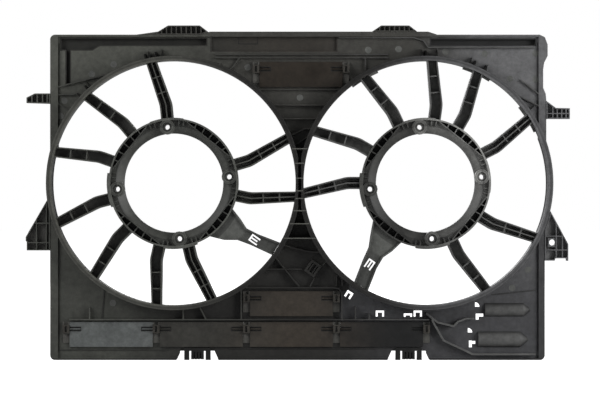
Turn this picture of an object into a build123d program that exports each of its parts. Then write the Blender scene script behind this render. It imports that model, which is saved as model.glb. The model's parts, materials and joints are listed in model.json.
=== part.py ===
from build123d import *
from math import atan2, cos, degrees, hypot, radians, sin, tan
import os

# Radiator fan shroud with two motor rings, seen from the engine side.
# X runs to the right, Z up and Y towards the radiator. Lengths are in millimetres.
# The origin lies under the middle of the part, level with its bottom edge.

# Fans
FAN_MIDDLE_X = 1.5
BARREL_BORE_RADIUS = 160.0
BARREL_GAP = 10.4
BARREL_WALL = 3.0
BARREL_LIP_WIDTH = 6.5
BARREL_LIP_SLOPE = 3.0
BARREL_TROUGH = 4.0
FAN_BORE_RELIEF = 1.2
FAN_BORE_START_Y = -8.0
FAN_BORE_STEP = 1.0
GUSSET_REACH = 12.0
GUSSET_WALL = 2.4

# Outline of the body, measured outwards from the bores of the barrels
LEFT_MARGIN = 3.7
RIGHT_MARGIN = -2.0
BOTTOM_MARGIN = 73.3
TOP_MARGIN = 35.7
LEFT_BULGE = 6.3
RIGHT_BULGE = 9.5
CORNER_RADIUS = 6.5
CROWN_HEIGHT = 4.0
CROWN_LEFT = -117.0
CROWN_RIGHT = 171.0
CROWN_SLOPE = 12.0
RIGHT_EDGE_WAVES = (
    (2.0, 150.0),
    (2.0, 86.0),
    (1.2, 78.0),
    (-2.1, 70.0),
    (-2.1, 46.0),
    (-0.8, 37.0),
    (3.8, 28.0),
    (3.8, 13.0),
)

# Depths, from the radiator to the engine
SEAL_Y = 30.0
LIP_Y = -30.0
PLATE_WALL = 2.5
SKIRT_WALL = 2.5
SEAL_LIP_WIDTH = 8.0
SKIRT_CORNER = 10.5
LEFT_FLANGE_WIDTH = 10.3
RIGHT_FLANGE_WIDTH = 8.0
FLANGE_HEIGHT = 4.0
FLANGE_GROOVE_WIDTH = 1.6
FLANGE_GROOVE_DEPTH = 1.5
TOP_BEAD_WIDTH = 2.6
RIB_WALL = 1.6
RIB_HEIGHT = 9.0
LOW_RIB_HEIGHT = 4.0

# Motor rings
MOTOR_BORE_RADIUS = 65.0
DISH_WIDTH = 10.5
RING_LAND_WIDTH = 9.0
RING_SHOULDER_STEPS = (0.6, 0.8, 2.5, 2.0)
RING_SHOULDER_ANGLE = 15.0
RING_BACK_Y = -8.0
RING_LAND_DROP = 6.0
RIM_WALL = 2.2
DISH_DEPTH = 7.0
BOLT_INSET = 8.5
BOLT_HOLE_RADIUS = 3.25
BOLT_BOSS_RADIUS = 9.8
BOLT_BOSS_SIDES = 16
BOLT_BOSS_FOOT = 4.0
BOLT_COUNTERBORE_RADIUS = 5.8
BOLT_COUNTERBORE_DEPTH = 2.5
FIRST_BOLT_ANGLE = 6.3
BOLT_COUNT = 4
POCKET_DEPTH = 12.0
POCKET_HALF_ANGLE = 26.0
POCKET_CHORD_INSET = 1.5
POCKET_WALL = 1.4
POCKET_RIBS = 5
FLANK_RIB_ANGLES = (11.5, 16.0)
FLANK_RIB_DROP = 2.0

# Arms: moulded channels that open towards the engine
ARM_RING_WIDTH = 16.0
ARM_BARREL_WIDTH = 13.4
ARM_KNEE_OFFSET = 18.5
ARM_KNEE_RADIUS = 34.0
ARM_LEAN = 5.0
ARM_WALL = 1.7
ARM_FLOOR = 2.4
ARM_FRONT_Y = -28.5
ARM_BACK_Y = -9.0
ARM_CROSS_RIBS = (0.27, 0.62)
ARM_CROSS_DROP = 2.5
ARM_PAD_ANGLE = 7.0
ARM_PAD_DEPTH = 2.6
ARM_PAD_HEIGHT = 6.0
LEFT_ARM_ANGLES = (95.5, 130.0, 160.5, 194.2, 224.6, 257.3, 283.3, 348.7, 16.4)
LEFT_ARMS_WITH_SPINE = (1, 7, 8, 9)
LEFT_GUSSET_ARMS = LEFT_ARM_ANGLES[:2]
RIGHT_ARM_ANGLES = (150.1, 180.0, 115.1, 82.2, 60.0, 27.0, 328.6, 294.6)
RIGHT_ARMS_WITH_SPINE = (2, 6, 7)
RIGHT_ARMS_WITH_PADS = (3, 5, 6)
RIGHT_GUSSET_ARMS = RIGHT_ARM_ANGLES[3:5]

# Cable ducts: each angle and width is given at a distance from the motor ring
DUCT_FACE_WALL = 2.4
DUCT_FRONT_Y = -25.0
DUCT_BACK_Y = -9.0
DUCT_WALL_WIDTH = 2.2
DUCT_STATIONS = (0.0, 15.5, 28.0, 45.0, 75.5)
LEFT_DUCT_ANGLES = (320.2, 321.6, 323.2, 325.0, 327.3)
LEFT_DUCT_WIDTHS = (47.0, 34.5, 19.0, 17.0, 19.0)
RIGHT_DUCT_ANGLES = (231.6, 233.6, 234.3, 235.4, 238.0)
RIGHT_DUCT_WIDTHS = (47.0, 35.0, 23.0, 21.0, 21.0)
DUCT_SLOT_LENGTH = 13.0
DUCT_SLOT_WIDTH = 10.0
DUCT_SLOT_STROKE = 2.0

# Ram air flaps, all of one size
FLAP_HEIGHT = 33.0
FLAP_WALL = 2.4
FLAP_HINGE_DROP = 9.3
FLAP_BACK_RIB = 1.3
FLAP_SEAT_GAP = 0.3
FLAP_SIDE_GAP = 0.25
FLAP_TOP_LAP = 0.05
HINGE_PIN_RADIUS = 1.5
HINGE_PIN_SIDES = 12
HINGE_PIN_CLEARANCE = 0.06
HINGE_PIN_INSERT = 3.0
HINGE_PIN_SETBACK = 0.4
HINGE_RECESS_LENGTH = 14.5
HINGE_RECESS_HEIGHT = 4.4
HINGE_RECESS_DEPTH = 1.5
WINDOW_LEDGE = 5.0
WINDOW_SHOULDER = 1.0
LOWER_FLAP_COUNT = 4
LOWER_ROW_INSET = 16.6
CORNER_WIDTH = 151.5
LOWER_FLAP_HINGE_Z = 41.0
MIDDLE_FLAP_COLUMN = 2
MIDDLE_FLAP_HINGE_Z = 81.5
TOP_FLAP_OFFSET = 1.8
TOP_FLAP_HINGE_DROP = 45.3
POST_WIDTH = 8.8
POST_HEIGHT = 1.2
HINGE_BOX_HEIGHT = 8.0
HINGE_BOX_LENGTH = 11.0
HINGE_BOX_SLOT_WIDTH = 3.0
HINGE_BOX_SLOT_DEPTH = 3.0

# Ears, brackets and tabs: blocks with cells that open towards the engine
CELL_WALL = 1.5
CELL_FLOOR = 3.0
CELL_PITCH = 6.5
MOUNT_BACK_Y = 6.0
MOUNT_FRONT_Y = -5.0
BRACKET_HOLE_OUT = 9.9
BRACKET_HOLE_Z = 155.0
BRACKET_HOLE_RADIUS = 4.1
BRACKET_BOSS_WIDTH = 12.0
BRACKET_BOSS_DROP = 1.0

# Plans of the side mounts: reach beyond the edge of the body, and height
MOUNT_ROOT = 20.0
LEFT_EAR_PLAN = ((0.0, 338.0), (31.1, 339.0), (31.1, 346.0), (20.1, 351.5), (0.0, 351.5))
LEFT_EAR_RIBS = (3.8, 9.9, 17.0, 24.0)
RIGHT_EAR_PLAN = ((0.0, 318.0), (33.0, 318.0), (33.0, 332.0), (14.6, 332.4), (0.0, 343.2))
RIGHT_EAR_RIBS = (10.6, 16.4, 22.2, 28.0)
RIGHT_EAR_STRIP_Z = 325.0
LEFT_BRACKET_PLAN = ((0.0, 144.5), (30.8, 144.5), (30.8, 156.0), (32.2, 157.0), (32.2, 162.2), (1.0, 216.0))
LEFT_BRACKET_RIBS = (4.8, 17.8)
LEFT_BRACKET_STRIPS = (154.8, 180.4)
RIGHT_BRACKET_PLAN = (
    (0.0, 131.0),
    (13.0, 131.0),
    (14.0, 134.0),
    (28.6, 134.0),
    (28.6, 130.8),
    (31.0, 130.8),
    (31.0, 152.9),
    (5.5, 199.8),
)
RIGHT_BRACKET_RIBS = (14.9, 23.1)
RIGHT_BRACKET_STRIPS = (145.2, 163.4)

# Plans of the top tabs: place across, and height above the top edge
TAB_HEIGHT = 12.0
LEFT_TAB_PLAN = ((-213.0, 0.0), (-185.0, 4.0), (-172.0, TAB_HEIGHT), (-130.0, TAB_HEIGHT), (-117.0, 2.0))
RIGHT_TAB_PLAN = ((94.0, 2.0), (109.0, TAB_HEIGHT), (146.0, TAB_HEIGHT), (159.0, 2.0))

# Snap clips in the bottom edge
CLIP_CENTRES = (-133.3, 145.2)
CLIP_NOTCH_WIDTH = 56.8
CLIP_NOTCH_HEIGHT = 12.0
CLIP_NOTCH_SLOPE = 6.0
CLIP_BLOCK_WIDTH = 16.5
CLIP_BLOCK_GROOVES = 3
CLIP_FINGER_WIDTH = 6.5
CLIP_FINGER_GAP = 2.6
CLIP_ROOT_HEIGHT = 4.0
CLIP_BLOCK_BOTTOM = 1.0
CLIP_HOOK = 2.0

# Recesses that are pressed back from the plate: place across, and drop below the top edge
TRENCH_DEPTH = 8.0
CROWN_RECESS_DEPTH = 3.0
LEFT_TRENCH_PLAN = (
    (12.4, 21.0),
    (19.4, 21.0),
    (19.4, 67.0),
    (27.4, 67.0),
    (27.4, 21.0),
    (55.4, 21.0),
    (65.4, 15.0),
    (207.4, 15.0),
    (207.4, 3.5),
    (12.4, 3.5),
)
RIGHT_TRENCH_PLAN = ((151.7, 15.0), (10.7, 15.0), (10.7, 4.5), (151.7, 4.5))
CROWN_RECESS_PLAN = ((-116.5, 22.5), (52.0, 22.5), (52.0, -0.5), (-116.5, -0.5))

# Ribs on the upper plate: place across, and drop below the top edge
UPPER_RIB_PATHS = (
    ((-110.0, 26.0), (118.0, 26.0)),
    ((-110.0, 30.5), (118.0, 30.5)),
    ((-77.0, 29.0), (-86.0, 42.0), (-93.0, 49.0)),
    ((-104.0, 37.0), (-105.0, 45.0)),
    ((88.0, 30.0), (88.0, 46.0)),
    ((68.5, 56.0), (77.0, 62.0)),
    ((53.0, 4.0), (152.0, 4.0), (165.0, 8.0), (171.0, 17.0), (310.0, 17.0)),
    ((-53.0, 72.5), (60.0, 72.5)),
    ((-318.0, 69.0), (-255.0, 53.0)),
    ((-318.0, 79.0), (-295.0, 79.0)),
    ((-318.0, 90.0), (-299.0, 102.0)),
    ((292.9, 59.8), (318.0, 79.0)),
    ((272.7, 72.6), (318.0, 94.4)),
)

# Ribs on the rest of the plate: place across, and height
WEB_RIB_LEVELS = (336.0, 318.0)
TROUGH_RIB_LEVELS = (278.0, 259.0, 239.5, 223.0, 213.0, 197.0, 180.0, 161.0)
TROUGH_RIB_HEIGHT = 22.0
WEB_RIB_PATHS = (
    ((-24.0, 284.0), (-10.0, 296.0), (8.0, 305.0), (34.0, 304.0)),
    ((-16.0, 268.0), (-4.0, 284.0), (10.0, 293.0), (30.0, 292.0)),
    ((-30.0, 155.0), (-8.0, 148.0), (14.0, 143.0), (40.0, 141.0)),
    ((-50.0, 120.0), (4.5, 120.0)),
    ((-32.0, 137.0), (1.0, 97.0)),
    ((15.0, 97.0), (21.0, 108.0)),
    ((32.0, 125.0), (40.0, 134.0)),
    ((50.0, 112.0), (50.0, 98.0)),
    ((57.5, 112.0), (57.5, 98.0)),
)
LOWER_RIB_PATHS = (
    ((-302.0, 53.5), (172.0, 53.5)),
    ((-75.5, 54.0), (-75.5, 95.5), (45.0, 95.5), (53.0, 94.5), (57.0, 89.0), (57.0, 54.0)),
    ((-275.0, 69.0), (-275.0, 54.0)),
    ((-152.0, 84.0), (-152.0, 54.0)),
    ((-135.0, 79.0), (-122.0, 54.0)),
    ((75.0, 71.0), (75.0, 54.0)),
    ((93.0, 62.0), (93.0, 54.0)),
)
FOLD_LINE_PATHS = (
    ((-256.0, 96.0), (-259.0, 55.0)),
    ((255.0, 86.0), (313.0, 92.0)),
    ((-92.0, 15.0), (100.0, 15.0)),
    ((-316.0, 13.0), (-170.0, 13.0)),
)
FOLD_LINE_HEIGHT = 1.0

# Cable tray in the lower right corner
TRAY_WALL_HEIGHT = 11.0
TRAY_WALL_PATHS = (
    ((149.2, 54.0), (145.7, 47.0), (133.7, 26.0), (103.7, 12.0), (95.7, 8.0), (12.7, 8.0)),
    ((156.7, 62.0), (141.7, 50.0), (120.7, 45.0), (114.7, 51.0), (103.7, 55.0), (93.7, 55.0)),
)
UPPER_BULGE = (78.7, 18.7, 66.0, 9.5)
LOWER_BULGE = (87.7, 21.7, 27.0, 11.0)
BULGE_SINK = 3.5
CABLE_SLOT_STROKE = 2.6
CABLE_SLOTS = (
    (-59.2, 61.0, 11.0, 8.0, 0),
    (-22.2, 59.0, 11.0, 4.5, 0),
    (-9.2, 61.0, 11.0, 8.0, 0),
    (-100.2, 86.0, 9.0, 9.0, -32),
)
CORNER_SLOTS = ((90.7, 53.0, 10.0, 8.0), (99.7, 16.5, 8.5, 9.0))
CORNER_SLOT_STROKE = 4.0
ROUND_SLOTS = ((91.7, 70.0), (101.2, 36.0))
ROUND_SLOT_RADIUS = 6.0
CONNECTOR_CLIP = (19.0, 121.0, -35.0)
CONNECTOR_CLIP_SIZE = (16.0, 18.5)
CONNECTOR_CLIP_HEIGHT = 9.0

# Sizes worked out from the values above
FAN_SPACING = 2 * BARREL_BORE_RADIUS + BARREL_GAP
LEFT_FAN = (FAN_MIDDLE_X - FAN_SPACING / 2, BARREL_BORE_RADIUS + BOTTOM_MARGIN)
RIGHT_FAN = (FAN_MIDDLE_X + FAN_SPACING / 2, BARREL_BORE_RADIUS + BOTTOM_MARGIN)
FAN_Z = LEFT_FAN[1]
BODY_LEFT = LEFT_FAN[0] - BARREL_BORE_RADIUS - LEFT_MARGIN
BODY_RIGHT = RIGHT_FAN[0] + BARREL_BORE_RADIUS + RIGHT_MARGIN
BODY_TOP = FAN_Z + BARREL_BORE_RADIUS + TOP_MARGIN
BARREL_RADIUS = BARREL_BORE_RADIUS + BARREL_WALL
LIP_RADIUS = BARREL_BORE_RADIUS + BARREL_LIP_WIDTH
FAN_BORE_RADIUS = BARREL_BORE_RADIUS + FAN_BORE_RELIEF
LAND_Y = LIP_Y + RING_LAND_DROP
DISH_RADIUS = MOTOR_BORE_RADIUS + DISH_WIDTH
RING_RADIUS = DISH_RADIUS + RING_LAND_WIDTH
BOLT_CIRCLE_RADIUS = MOTOR_BORE_RADIUS + BOLT_INSET
POCKET_CHORD = DISH_RADIUS - POCKET_CHORD_INSET
FLAP_BACK_Y = -FLAP_SEAT_GAP - FLAP_BACK_RIB
FLAP_FRONT_Y = FLAP_BACK_Y - FLAP_WALL
HINGE_Y = (FLAP_BACK_Y + FLAP_FRONT_Y) / 2 + HINGE_PIN_SETBACK
TOP_FLAP_HINGE_Z = BODY_TOP - TOP_FLAP_HINGE_DROP
LOWER_ROW_LEFT = BODY_LEFT + LOWER_ROW_INSET
LOWER_ROW_RIGHT = BODY_RIGHT - CORNER_WIDTH
FLAP_PITCH = (LOWER_ROW_RIGHT - LOWER_ROW_LEFT - POST_WIDTH) / LOWER_FLAP_COUNT
FLAP_WIDTH = FLAP_PITCH - POST_WIDTH - 2 * FLAP_SIDE_GAP
LOWER_FLAP_FIRST_X = LOWER_ROW_LEFT + (FLAP_PITCH + POST_WIDTH) / 2
LOWER_FLAP_XS = [LOWER_FLAP_FIRST_X + i * FLAP_PITCH for i in range(LOWER_FLAP_COUNT)]
MIDDLE_FLAP_X = LOWER_FLAP_XS[MIDDLE_FLAP_COLUMN]
TOP_FLAP_X = FAN_MIDDLE_X + TOP_FLAP_OFFSET
FLAPS = {f"lower_flap_{i + 1}": (x, LOWER_FLAP_HINGE_Z) for i, x in enumerate(LOWER_FLAP_XS)}
FLAPS["middle_flap"] = (MIDDLE_FLAP_X, MIDDLE_FLAP_HINGE_Z)
FLAPS["top_flap"] = (TOP_FLAP_X, TOP_FLAP_HINGE_Z)
FAR = 1000.0


def slab(sketch, back, front):
    """Thicken a front-view sketch from the depth back to the depth front, nearer the engine."""
    return Pos(0, back, 0) * extrude(Plane.XZ * sketch, amount=back - front)


def polygon(*points):
    """Make a front-view face from its corners."""
    return make_face(Polyline(*points, close=True))


def box_face(left, right, bottom, top):
    """Make a front-view rectangle from its four sides."""
    return Pos((left + right) / 2, (bottom + top) / 2) * Rectangle(right - left, top - bottom)


def bar(start, end, width):
    """Make a straight front-view strip between two points."""
    run = (end[0] - start[0], end[1] - start[1])
    middle = ((start[0] + end[0]) / 2, (start[1] + end[1]) / 2)
    return Pos(*middle) * Rot(0, 0, degrees(atan2(run[1], run[0]))) * Rectangle(hypot(*run), width)


def path_bars(points, width):
    """Join straight strips along a path, each drawn out to the mitre at its corners."""
    headings = [atan2(b[1] - a[1], b[0] - a[0]) for a, b in zip(points, points[1:])]
    turns = [after - before for before, after in zip(headings, headings[1:])]
    mitres = [0.0, *(width / 2 * abs(tan(turn / 2)) for turn in turns), 0.0]
    plan = Sketch()
    for i, heading in enumerate(headings):
        start = polar(points[i], -mitres[i], degrees(heading))
        end = polar(points[i + 1], mitres[i + 1], degrees(heading))
        plan += bar(start, end, width)
    return plan


def polar(centre, radius, angle):
    """Give the front-view point at a radius and angle round a centre."""
    return (centre[0] + radius * cos(radians(angle)), centre[1] + radius * sin(radians(angle)))


def disc(centre, radius):
    return Pos(*centre) * Circle(radius)


def sector(centre, middle_angle, half_angle, radius):
    """Make a front-view wedge that is wider than the circle that it will cut."""
    reach = radius / cos(radians(half_angle))
    corners = [polar(centre, reach, middle_angle + side * half_angle) for side in (-1, 1)]
    return polygon(centre, *corners)


def below_top(points):
    """Turn drops below the top edge into heights."""
    return [(x, BODY_TOP - drop) for x, drop in points]


def from_left(points):
    """Turn distances from the left edge into places across."""
    return [(BODY_LEFT + inset, z) for inset, z in points]


def from_right(points):
    """Turn distances from the right edge into places across."""
    return [(BODY_RIGHT - inset, z) for inset, z in points]


def from_middle(points):
    """Turn distances from the line between the fans into places across."""
    return [(FAN_MIDDLE_X + out, z) for out, z in points]


def body_outline():
    """Give the outer edge of the plate, with the waves of its right side."""
    waves = [(BODY_RIGHT + out, BODY_TOP - drop) for out, drop in RIGHT_EDGE_WAVES]
    plan = polygon(
        (BODY_LEFT, 0),
        (BODY_RIGHT, 0),
        (BODY_RIGHT, FAN_Z),
        *waves,
        (BODY_RIGHT, BODY_TOP - CORNER_RADIUS / 2),
        (BODY_RIGHT - CORNER_RADIUS, BODY_TOP),
        (CROWN_RIGHT + CROWN_SLOPE, BODY_TOP),
        (CROWN_RIGHT, BODY_TOP + CROWN_HEIGHT),
        (CROWN_LEFT, BODY_TOP + CROWN_HEIGHT),
        (CROWN_LEFT - CROWN_SLOPE, BODY_TOP),
        (BODY_LEFT, BODY_TOP),
    )
    square = [v for v in plan.vertices() if v.X < BODY_LEFT + 1 or (v.X > BODY_RIGHT - 1 and v.Y < 1)]
    return fillet(square, CORNER_RADIUS)


def clip_notches():
    """Give the two cut-outs in the bottom edge round the snap clips."""
    notches = Sketch()
    for x in CLIP_CENTRES:
        half = CLIP_NOTCH_WIDTH / 2
        notches += polygon(
            (x - half, -1),
            (x + half, -1),
            (x + half - CLIP_NOTCH_SLOPE, CLIP_NOTCH_HEIGHT),
            (x - half + CLIP_NOTCH_SLOPE, CLIP_NOTCH_HEIGHT),
        )
    return notches


BODY = body_outline()
BULGED_BODY = (
    BODY
    + disc(LEFT_FAN, BARREL_BORE_RADIUS + LEFT_BULGE)
    + disc(RIGHT_FAN, BARREL_BORE_RADIUS + RIGHT_BULGE)
)
BARREL_DISCS = disc(LEFT_FAN, BARREL_RADIUS) + disc(RIGHT_FAN, BARREL_RADIUS)
INNER_BODY = box_face(
    BODY_LEFT + LEFT_FLANGE_WIDTH, BODY_RIGHT - RIGHT_FLANGE_WIDTH, SKIRT_WALL, BODY_TOP - TOP_BEAD_WIDTH
)
RIB_FIELD = INNER_BODY - BARREL_DISCS
RECESSES = (
    (polygon(*below_top(from_left(LEFT_TRENCH_PLAN))), TRENCH_DEPTH),
    (polygon(*below_top(from_right(RIGHT_TRENCH_PLAN))), TRENCH_DEPTH),
    (polygon(*below_top(CROWN_RECESS_PLAN)), CROWN_RECESS_DEPTH),
)


def window_span(hinge_z):
    """Give the lowest and the highest point of the window behind a flap."""
    top = hinge_z + FLAP_HINGE_DROP
    return top - FLAP_HEIGHT + WINDOW_LEDGE, top - FLAP_TOP_LAP


def row_span(first_x, count):
    """Give the left and right ends of a row of flaps with its outer posts."""
    half = (FLAP_PITCH + POST_WIDTH) / 2
    return first_x - half, first_x + (count - 1) * FLAP_PITCH + half


def flap_window(x, hinge_z):
    """Give the opening behind a flap: as wide as the flap above the hinge, narrower below."""
    bottom, top = window_span(hinge_z)
    shoulder = hinge_z - WINDOW_SHOULDER
    half = FLAP_WIDTH / 2
    lower = box_face(x - half + WINDOW_LEDGE, x + half - WINDOW_LEDGE, bottom, shoulder)
    return lower + box_face(x - half - FLAP_SIDE_GAP, x + half + FLAP_SIDE_GAP, shoulder, top)


def cable_slots():
    """Give the through slots that hold cable clips: hooks, corners and quarter rounds."""
    stroke = CABLE_SLOT_STROKE
    slots = Sketch()
    for out, z, width, height, turn in CABLE_SLOTS:
        hook = Rectangle(width, height) - Pos(0, -stroke) * Rectangle(width - 2 * stroke, height)
        slots += Pos(RIGHT_FAN[0] + out, z) * Rot(0, 0, turn) * hook
    for inset, z, width, height in CORNER_SLOTS:
        x = BODY_RIGHT - inset
        middle = z + height / 2
        slots += box_face(x, x + width, middle, middle + CORNER_SLOT_STROKE)
        slots += box_face(x, x + CORNER_SLOT_STROKE, z, z + height)
    for corner in from_right(ROUND_SLOTS):
        quarter = box_face(corner[0], corner[0] + FAR, corner[1], corner[1] + FAR)
        slots += disc(corner, ROUND_SLOT_RADIUS) & quarter
    return slots


def plate_plan():
    """Give the whole flat plate with its openings."""
    plan = BULGED_BODY - BARREL_DISCS - clip_notches() - cable_slots()
    for place in FLAPS.values():
        plan -= flap_window(*place)
    for recess_plan, _ in RECESSES:
        plan -= recess_plan
    return plan


def plate_regions():
    """Divide the plate at the flap rows and between the fans."""
    lower_bottom, lower_top = window_span(LOWER_FLAP_HINGE_Z)
    _, lower_right = row_span(LOWER_FLAP_FIRST_X, LOWER_FLAP_COUNT)
    middle_left, middle_right = row_span(MIDDLE_FLAP_X, 1)
    _, middle_top = window_span(MIDDLE_FLAP_HINGE_Z)
    top_left, top_right = row_span(TOP_FLAP_X, 1)
    top_bottom, _ = window_span(TOP_FLAP_HINGE_Z)
    regions = {
        "bottom_rail": box_face(-FAR, FAR, -FAR, lower_bottom),
        "lower_flap_frame": box_face(-FAR, lower_right, lower_bottom, lower_top),
        "middle_flap_frame": box_face(middle_left, middle_right, lower_top, middle_top),
        "top_flap_frame": box_face(top_left, top_right, top_bottom, FAR),
        "web_panel": box_face(middle_left, top_right, middle_top, top_bottom),
    }
    taken = Sketch() + list(regions.values())
    regions["upper_left_panel"] = box_face(-FAR, FAN_MIDDLE_X, FAN_Z, FAR) - taken
    regions["upper_right_panel"] = box_face(FAN_MIDDLE_X, FAR, FAN_Z, FAR) - taken
    regions["lower_left_panel"] = box_face(-FAR, FAN_MIDDLE_X, -FAR, FAN_Z) - taken
    regions["lower_right_panel"] = box_face(FAN_MIDDLE_X, FAR, -FAR, FAN_Z) - taken
    return regions


def plates():
    """Make the stretches of the plate, with the groove beside each side flange."""
    plan = plate_plan()
    left = BODY_LEFT + LEFT_FLANGE_WIDTH
    right = BODY_RIGHT - RIGHT_FLANGE_WIDTH
    low, high = SKIRT_CORNER, BODY_TOP - SKIRT_CORNER
    grooves = box_face(left, left + FLANGE_GROOVE_WIDTH, low, high)
    grooves += box_face(right - FLANGE_GROOVE_WIDTH, right, low, high)
    cut = slab(grooves, FLANGE_GROOVE_DEPTH, 0)
    return {name: slab(plan & region, PLATE_WALL, 0) - cut for name, region in plate_regions().items()}


def recess_tray(plan, depth):
    """Make the sunken tray of a recess: its floor and the walls that join it to the plate."""
    return slab(plan, depth + PLATE_WALL, 0) - slab(offset(plan, -RIB_WALL), depth, 0)


def skirt(regions):
    """Make a side of the skirt from stretches of wall, seal lip and front flange."""
    edge = BULGED_BODY - clip_notches()
    wall = edge - offset(BULGED_BODY, -SKIRT_WALL)
    seal_lip = edge - offset(BULGED_BODY, -SEAL_LIP_WIDTH) - BARREL_DISCS
    flange = BODY - INNER_BODY - clip_notches() - disc(LEFT_FAN, LIP_RADIUS) - disc(RIGHT_FAN, LIP_RADIUS)
    solids = []
    for region in regions:
        solids.extend(slab(wall & region, SEAL_Y - SKIRT_WALL, PLATE_WALL).solids())
        solids.extend(slab(seal_lip & region, SEAL_Y, SEAL_Y - SKIRT_WALL).solids())
        solids.extend(slab(flange & region, 0, -FLANGE_HEIGHT).solids())
    return Compound(children=solids)


def skirts():
    """Give the four sides of the skirt, divided at the corners and at the crown."""
    left, right = BODY_LEFT + SKIRT_CORNER, BODY_RIGHT - SKIRT_CORNER
    low, high = SKIRT_CORNER, BODY_TOP - SKIRT_CORNER
    crown_left, crown_right = CROWN_LEFT - CROWN_SLOPE, CROWN_RIGHT + CROWN_SLOPE
    rows = ((-FAR, low), (low, high), (high, FAR))
    across = ((left, crown_left), (crown_left, crown_right), (crown_right, right))
    return {
        "top_skirt": skirt([box_face(*span, high, FAR) for span in across]),
        "bottom_skirt": skirt([box_face(left, right, -FAR, low)]),
        "left_skirt": skirt([box_face(-FAR, left, *row) for row in rows]),
        "right_skirt": skirt([box_face(right, FAR, *row) for row in rows]),
    }


def fan_barrel(centre, side):
    """Turn the barrel round its fan axis and trim it where it meets its neighbour."""
    profile = make_face(
        Polyline(
            (FAN_BORE_RADIUS, PLATE_WALL),
            (FAN_BORE_RADIUS, FAN_BORE_START_Y),
            (BARREL_BORE_RADIUS, FAN_BORE_START_Y - FAN_BORE_STEP),
            (BARREL_BORE_RADIUS, LIP_Y),
            (LIP_RADIUS, LIP_Y),
            (BARREL_RADIUS, LIP_Y + BARREL_LIP_SLOPE),
            (BARREL_RADIUS, PLATE_WALL),
            close=True,
        )
    )
    barrel = Pos(centre[0], 0, centre[1]) * revolve(profile, Axis.Y)
    edge = FAN_MIDDLE_X + side * BARREL_TROUGH / 2
    middle = box_face(edge, edge + side * FAR, -FAR, FAR)
    return barrel & slab(middle, SEAL_Y, LIP_Y)


def bolt_angles():
    return [FIRST_BOLT_ANGLE + i * 360 / BOLT_COUNT for i in range(BOLT_COUNT)]


def at_bolts(centre, shape):
    """Repeat a front-view shape at each bolt hole of a ring."""
    places = [polar(centre, BOLT_CIRCLE_RADIUS, angle) for angle in bolt_angles()]
    return Sketch() + [Pos(*place) * shape for place in places]


def ring_plan(centre):
    """Give the outer outline of a motor ring, which steps out beside each bolt boss."""
    plan = disc(centre, RING_RADIUS)
    for angle, step in zip(bolt_angles(), RING_SHOULDER_STEPS):
        wedge = sector(centre, angle, RING_SHOULDER_ANGLE, RING_RADIUS + step)
        plan += disc(centre, RING_RADIUS + step) & wedge
    return plan


def radial_bars(centre, angles, inner, wall):
    """Give thin radial walls from an inner radius to the rim."""
    outer = RING_RADIUS - RIM_WALL / 2
    return Sketch() + [bar(polar(centre, inner, a), polar(centre, outer, a), wall) for a in angles]


def beyond_chord(centre, angle, chord):
    """Give everything on the far side of a straight line across a ring."""
    return Pos(*centre) * Rot(0, 0, angle) * Pos(chord + FAR / 2, 0) * Rectangle(FAR, FAR)


def motor_ring(centre):
    """Make the dished ring that carries a fan motor, with its rim, pockets and bolt bosses."""
    profile = make_face(
        Polyline(
            (MOTOR_BORE_RADIUS, RING_BACK_Y),
            (RING_RADIUS, RING_BACK_Y),
            (RING_RADIUS, LAND_Y),
            (DISH_RADIUS, LAND_Y),
            (MOTOR_BORE_RADIUS, LAND_Y + DISH_DEPTH),
            close=True,
        )
    )
    ring = Pos(centre[0], 0, centre[1]) * revolve(profile, Axis.Y)
    plan = ring_plan(centre)
    inner = disc(centre, RING_RADIUS - RIM_WALL)
    pockets = Sketch()
    walls = Sketch()
    flank_angles = []
    for bolt_angle in bolt_angles():
        angle = bolt_angle + 180 / BOLT_COUNT
        wedge = sector(centre, angle, POCKET_HALF_ANGLE, RING_RADIUS)
        crescent = inner & wedge & beyond_chord(centre, angle, POCKET_CHORD)
        step = 2 * POCKET_HALF_ANGLE / (POCKET_RIBS + 1)
        rib_angles = [angle - POCKET_HALF_ANGLE + (i + 1) * step for i in range(POCKET_RIBS)]
        ribs_across = radial_bars(centre, rib_angles, POCKET_CHORD, POCKET_WALL)
        pockets += crescent - ribs_across
        chord_wall = beyond_chord(centre, angle, POCKET_CHORD - POCKET_WALL)
        walls += (inner & wedge & chord_wall) - crescent
        walls += ribs_across & crescent
        flank_angles.extend(bolt_angle + side * flank for side in (-1, 1) for flank in FLANK_RIB_ANGLES)
    boss = RegularPolygon(BOLT_BOSS_RADIUS, BOLT_BOSS_SIDES)
    foot_y = LAND_Y + BOLT_BOSS_FOOT
    ring += slab(plan - inner, RING_BACK_Y, LIP_Y)
    ring += slab(walls + at_bolts(centre, boss), foot_y, LIP_Y)
    flanks = radial_bars(centre, flank_angles, DISH_RADIUS, POCKET_WALL)
    ring += slab(flanks, foot_y, LIP_Y + FLANK_RIB_DROP)
    ring -= slab(pockets, LAND_Y + POCKET_DEPTH, LIP_Y)
    counterbore = RegularPolygon(BOLT_COUNTERBORE_RADIUS, BOLT_BOSS_SIDES)
    ring -= slab(at_bolts(centre, counterbore), LIP_Y + BOLT_COUNTERBORE_DEPTH, LIP_Y)
    return ring - slab(at_bolts(centre, Circle(BOLT_HOLE_RADIUS)), RING_BACK_Y, LIP_Y)


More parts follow.
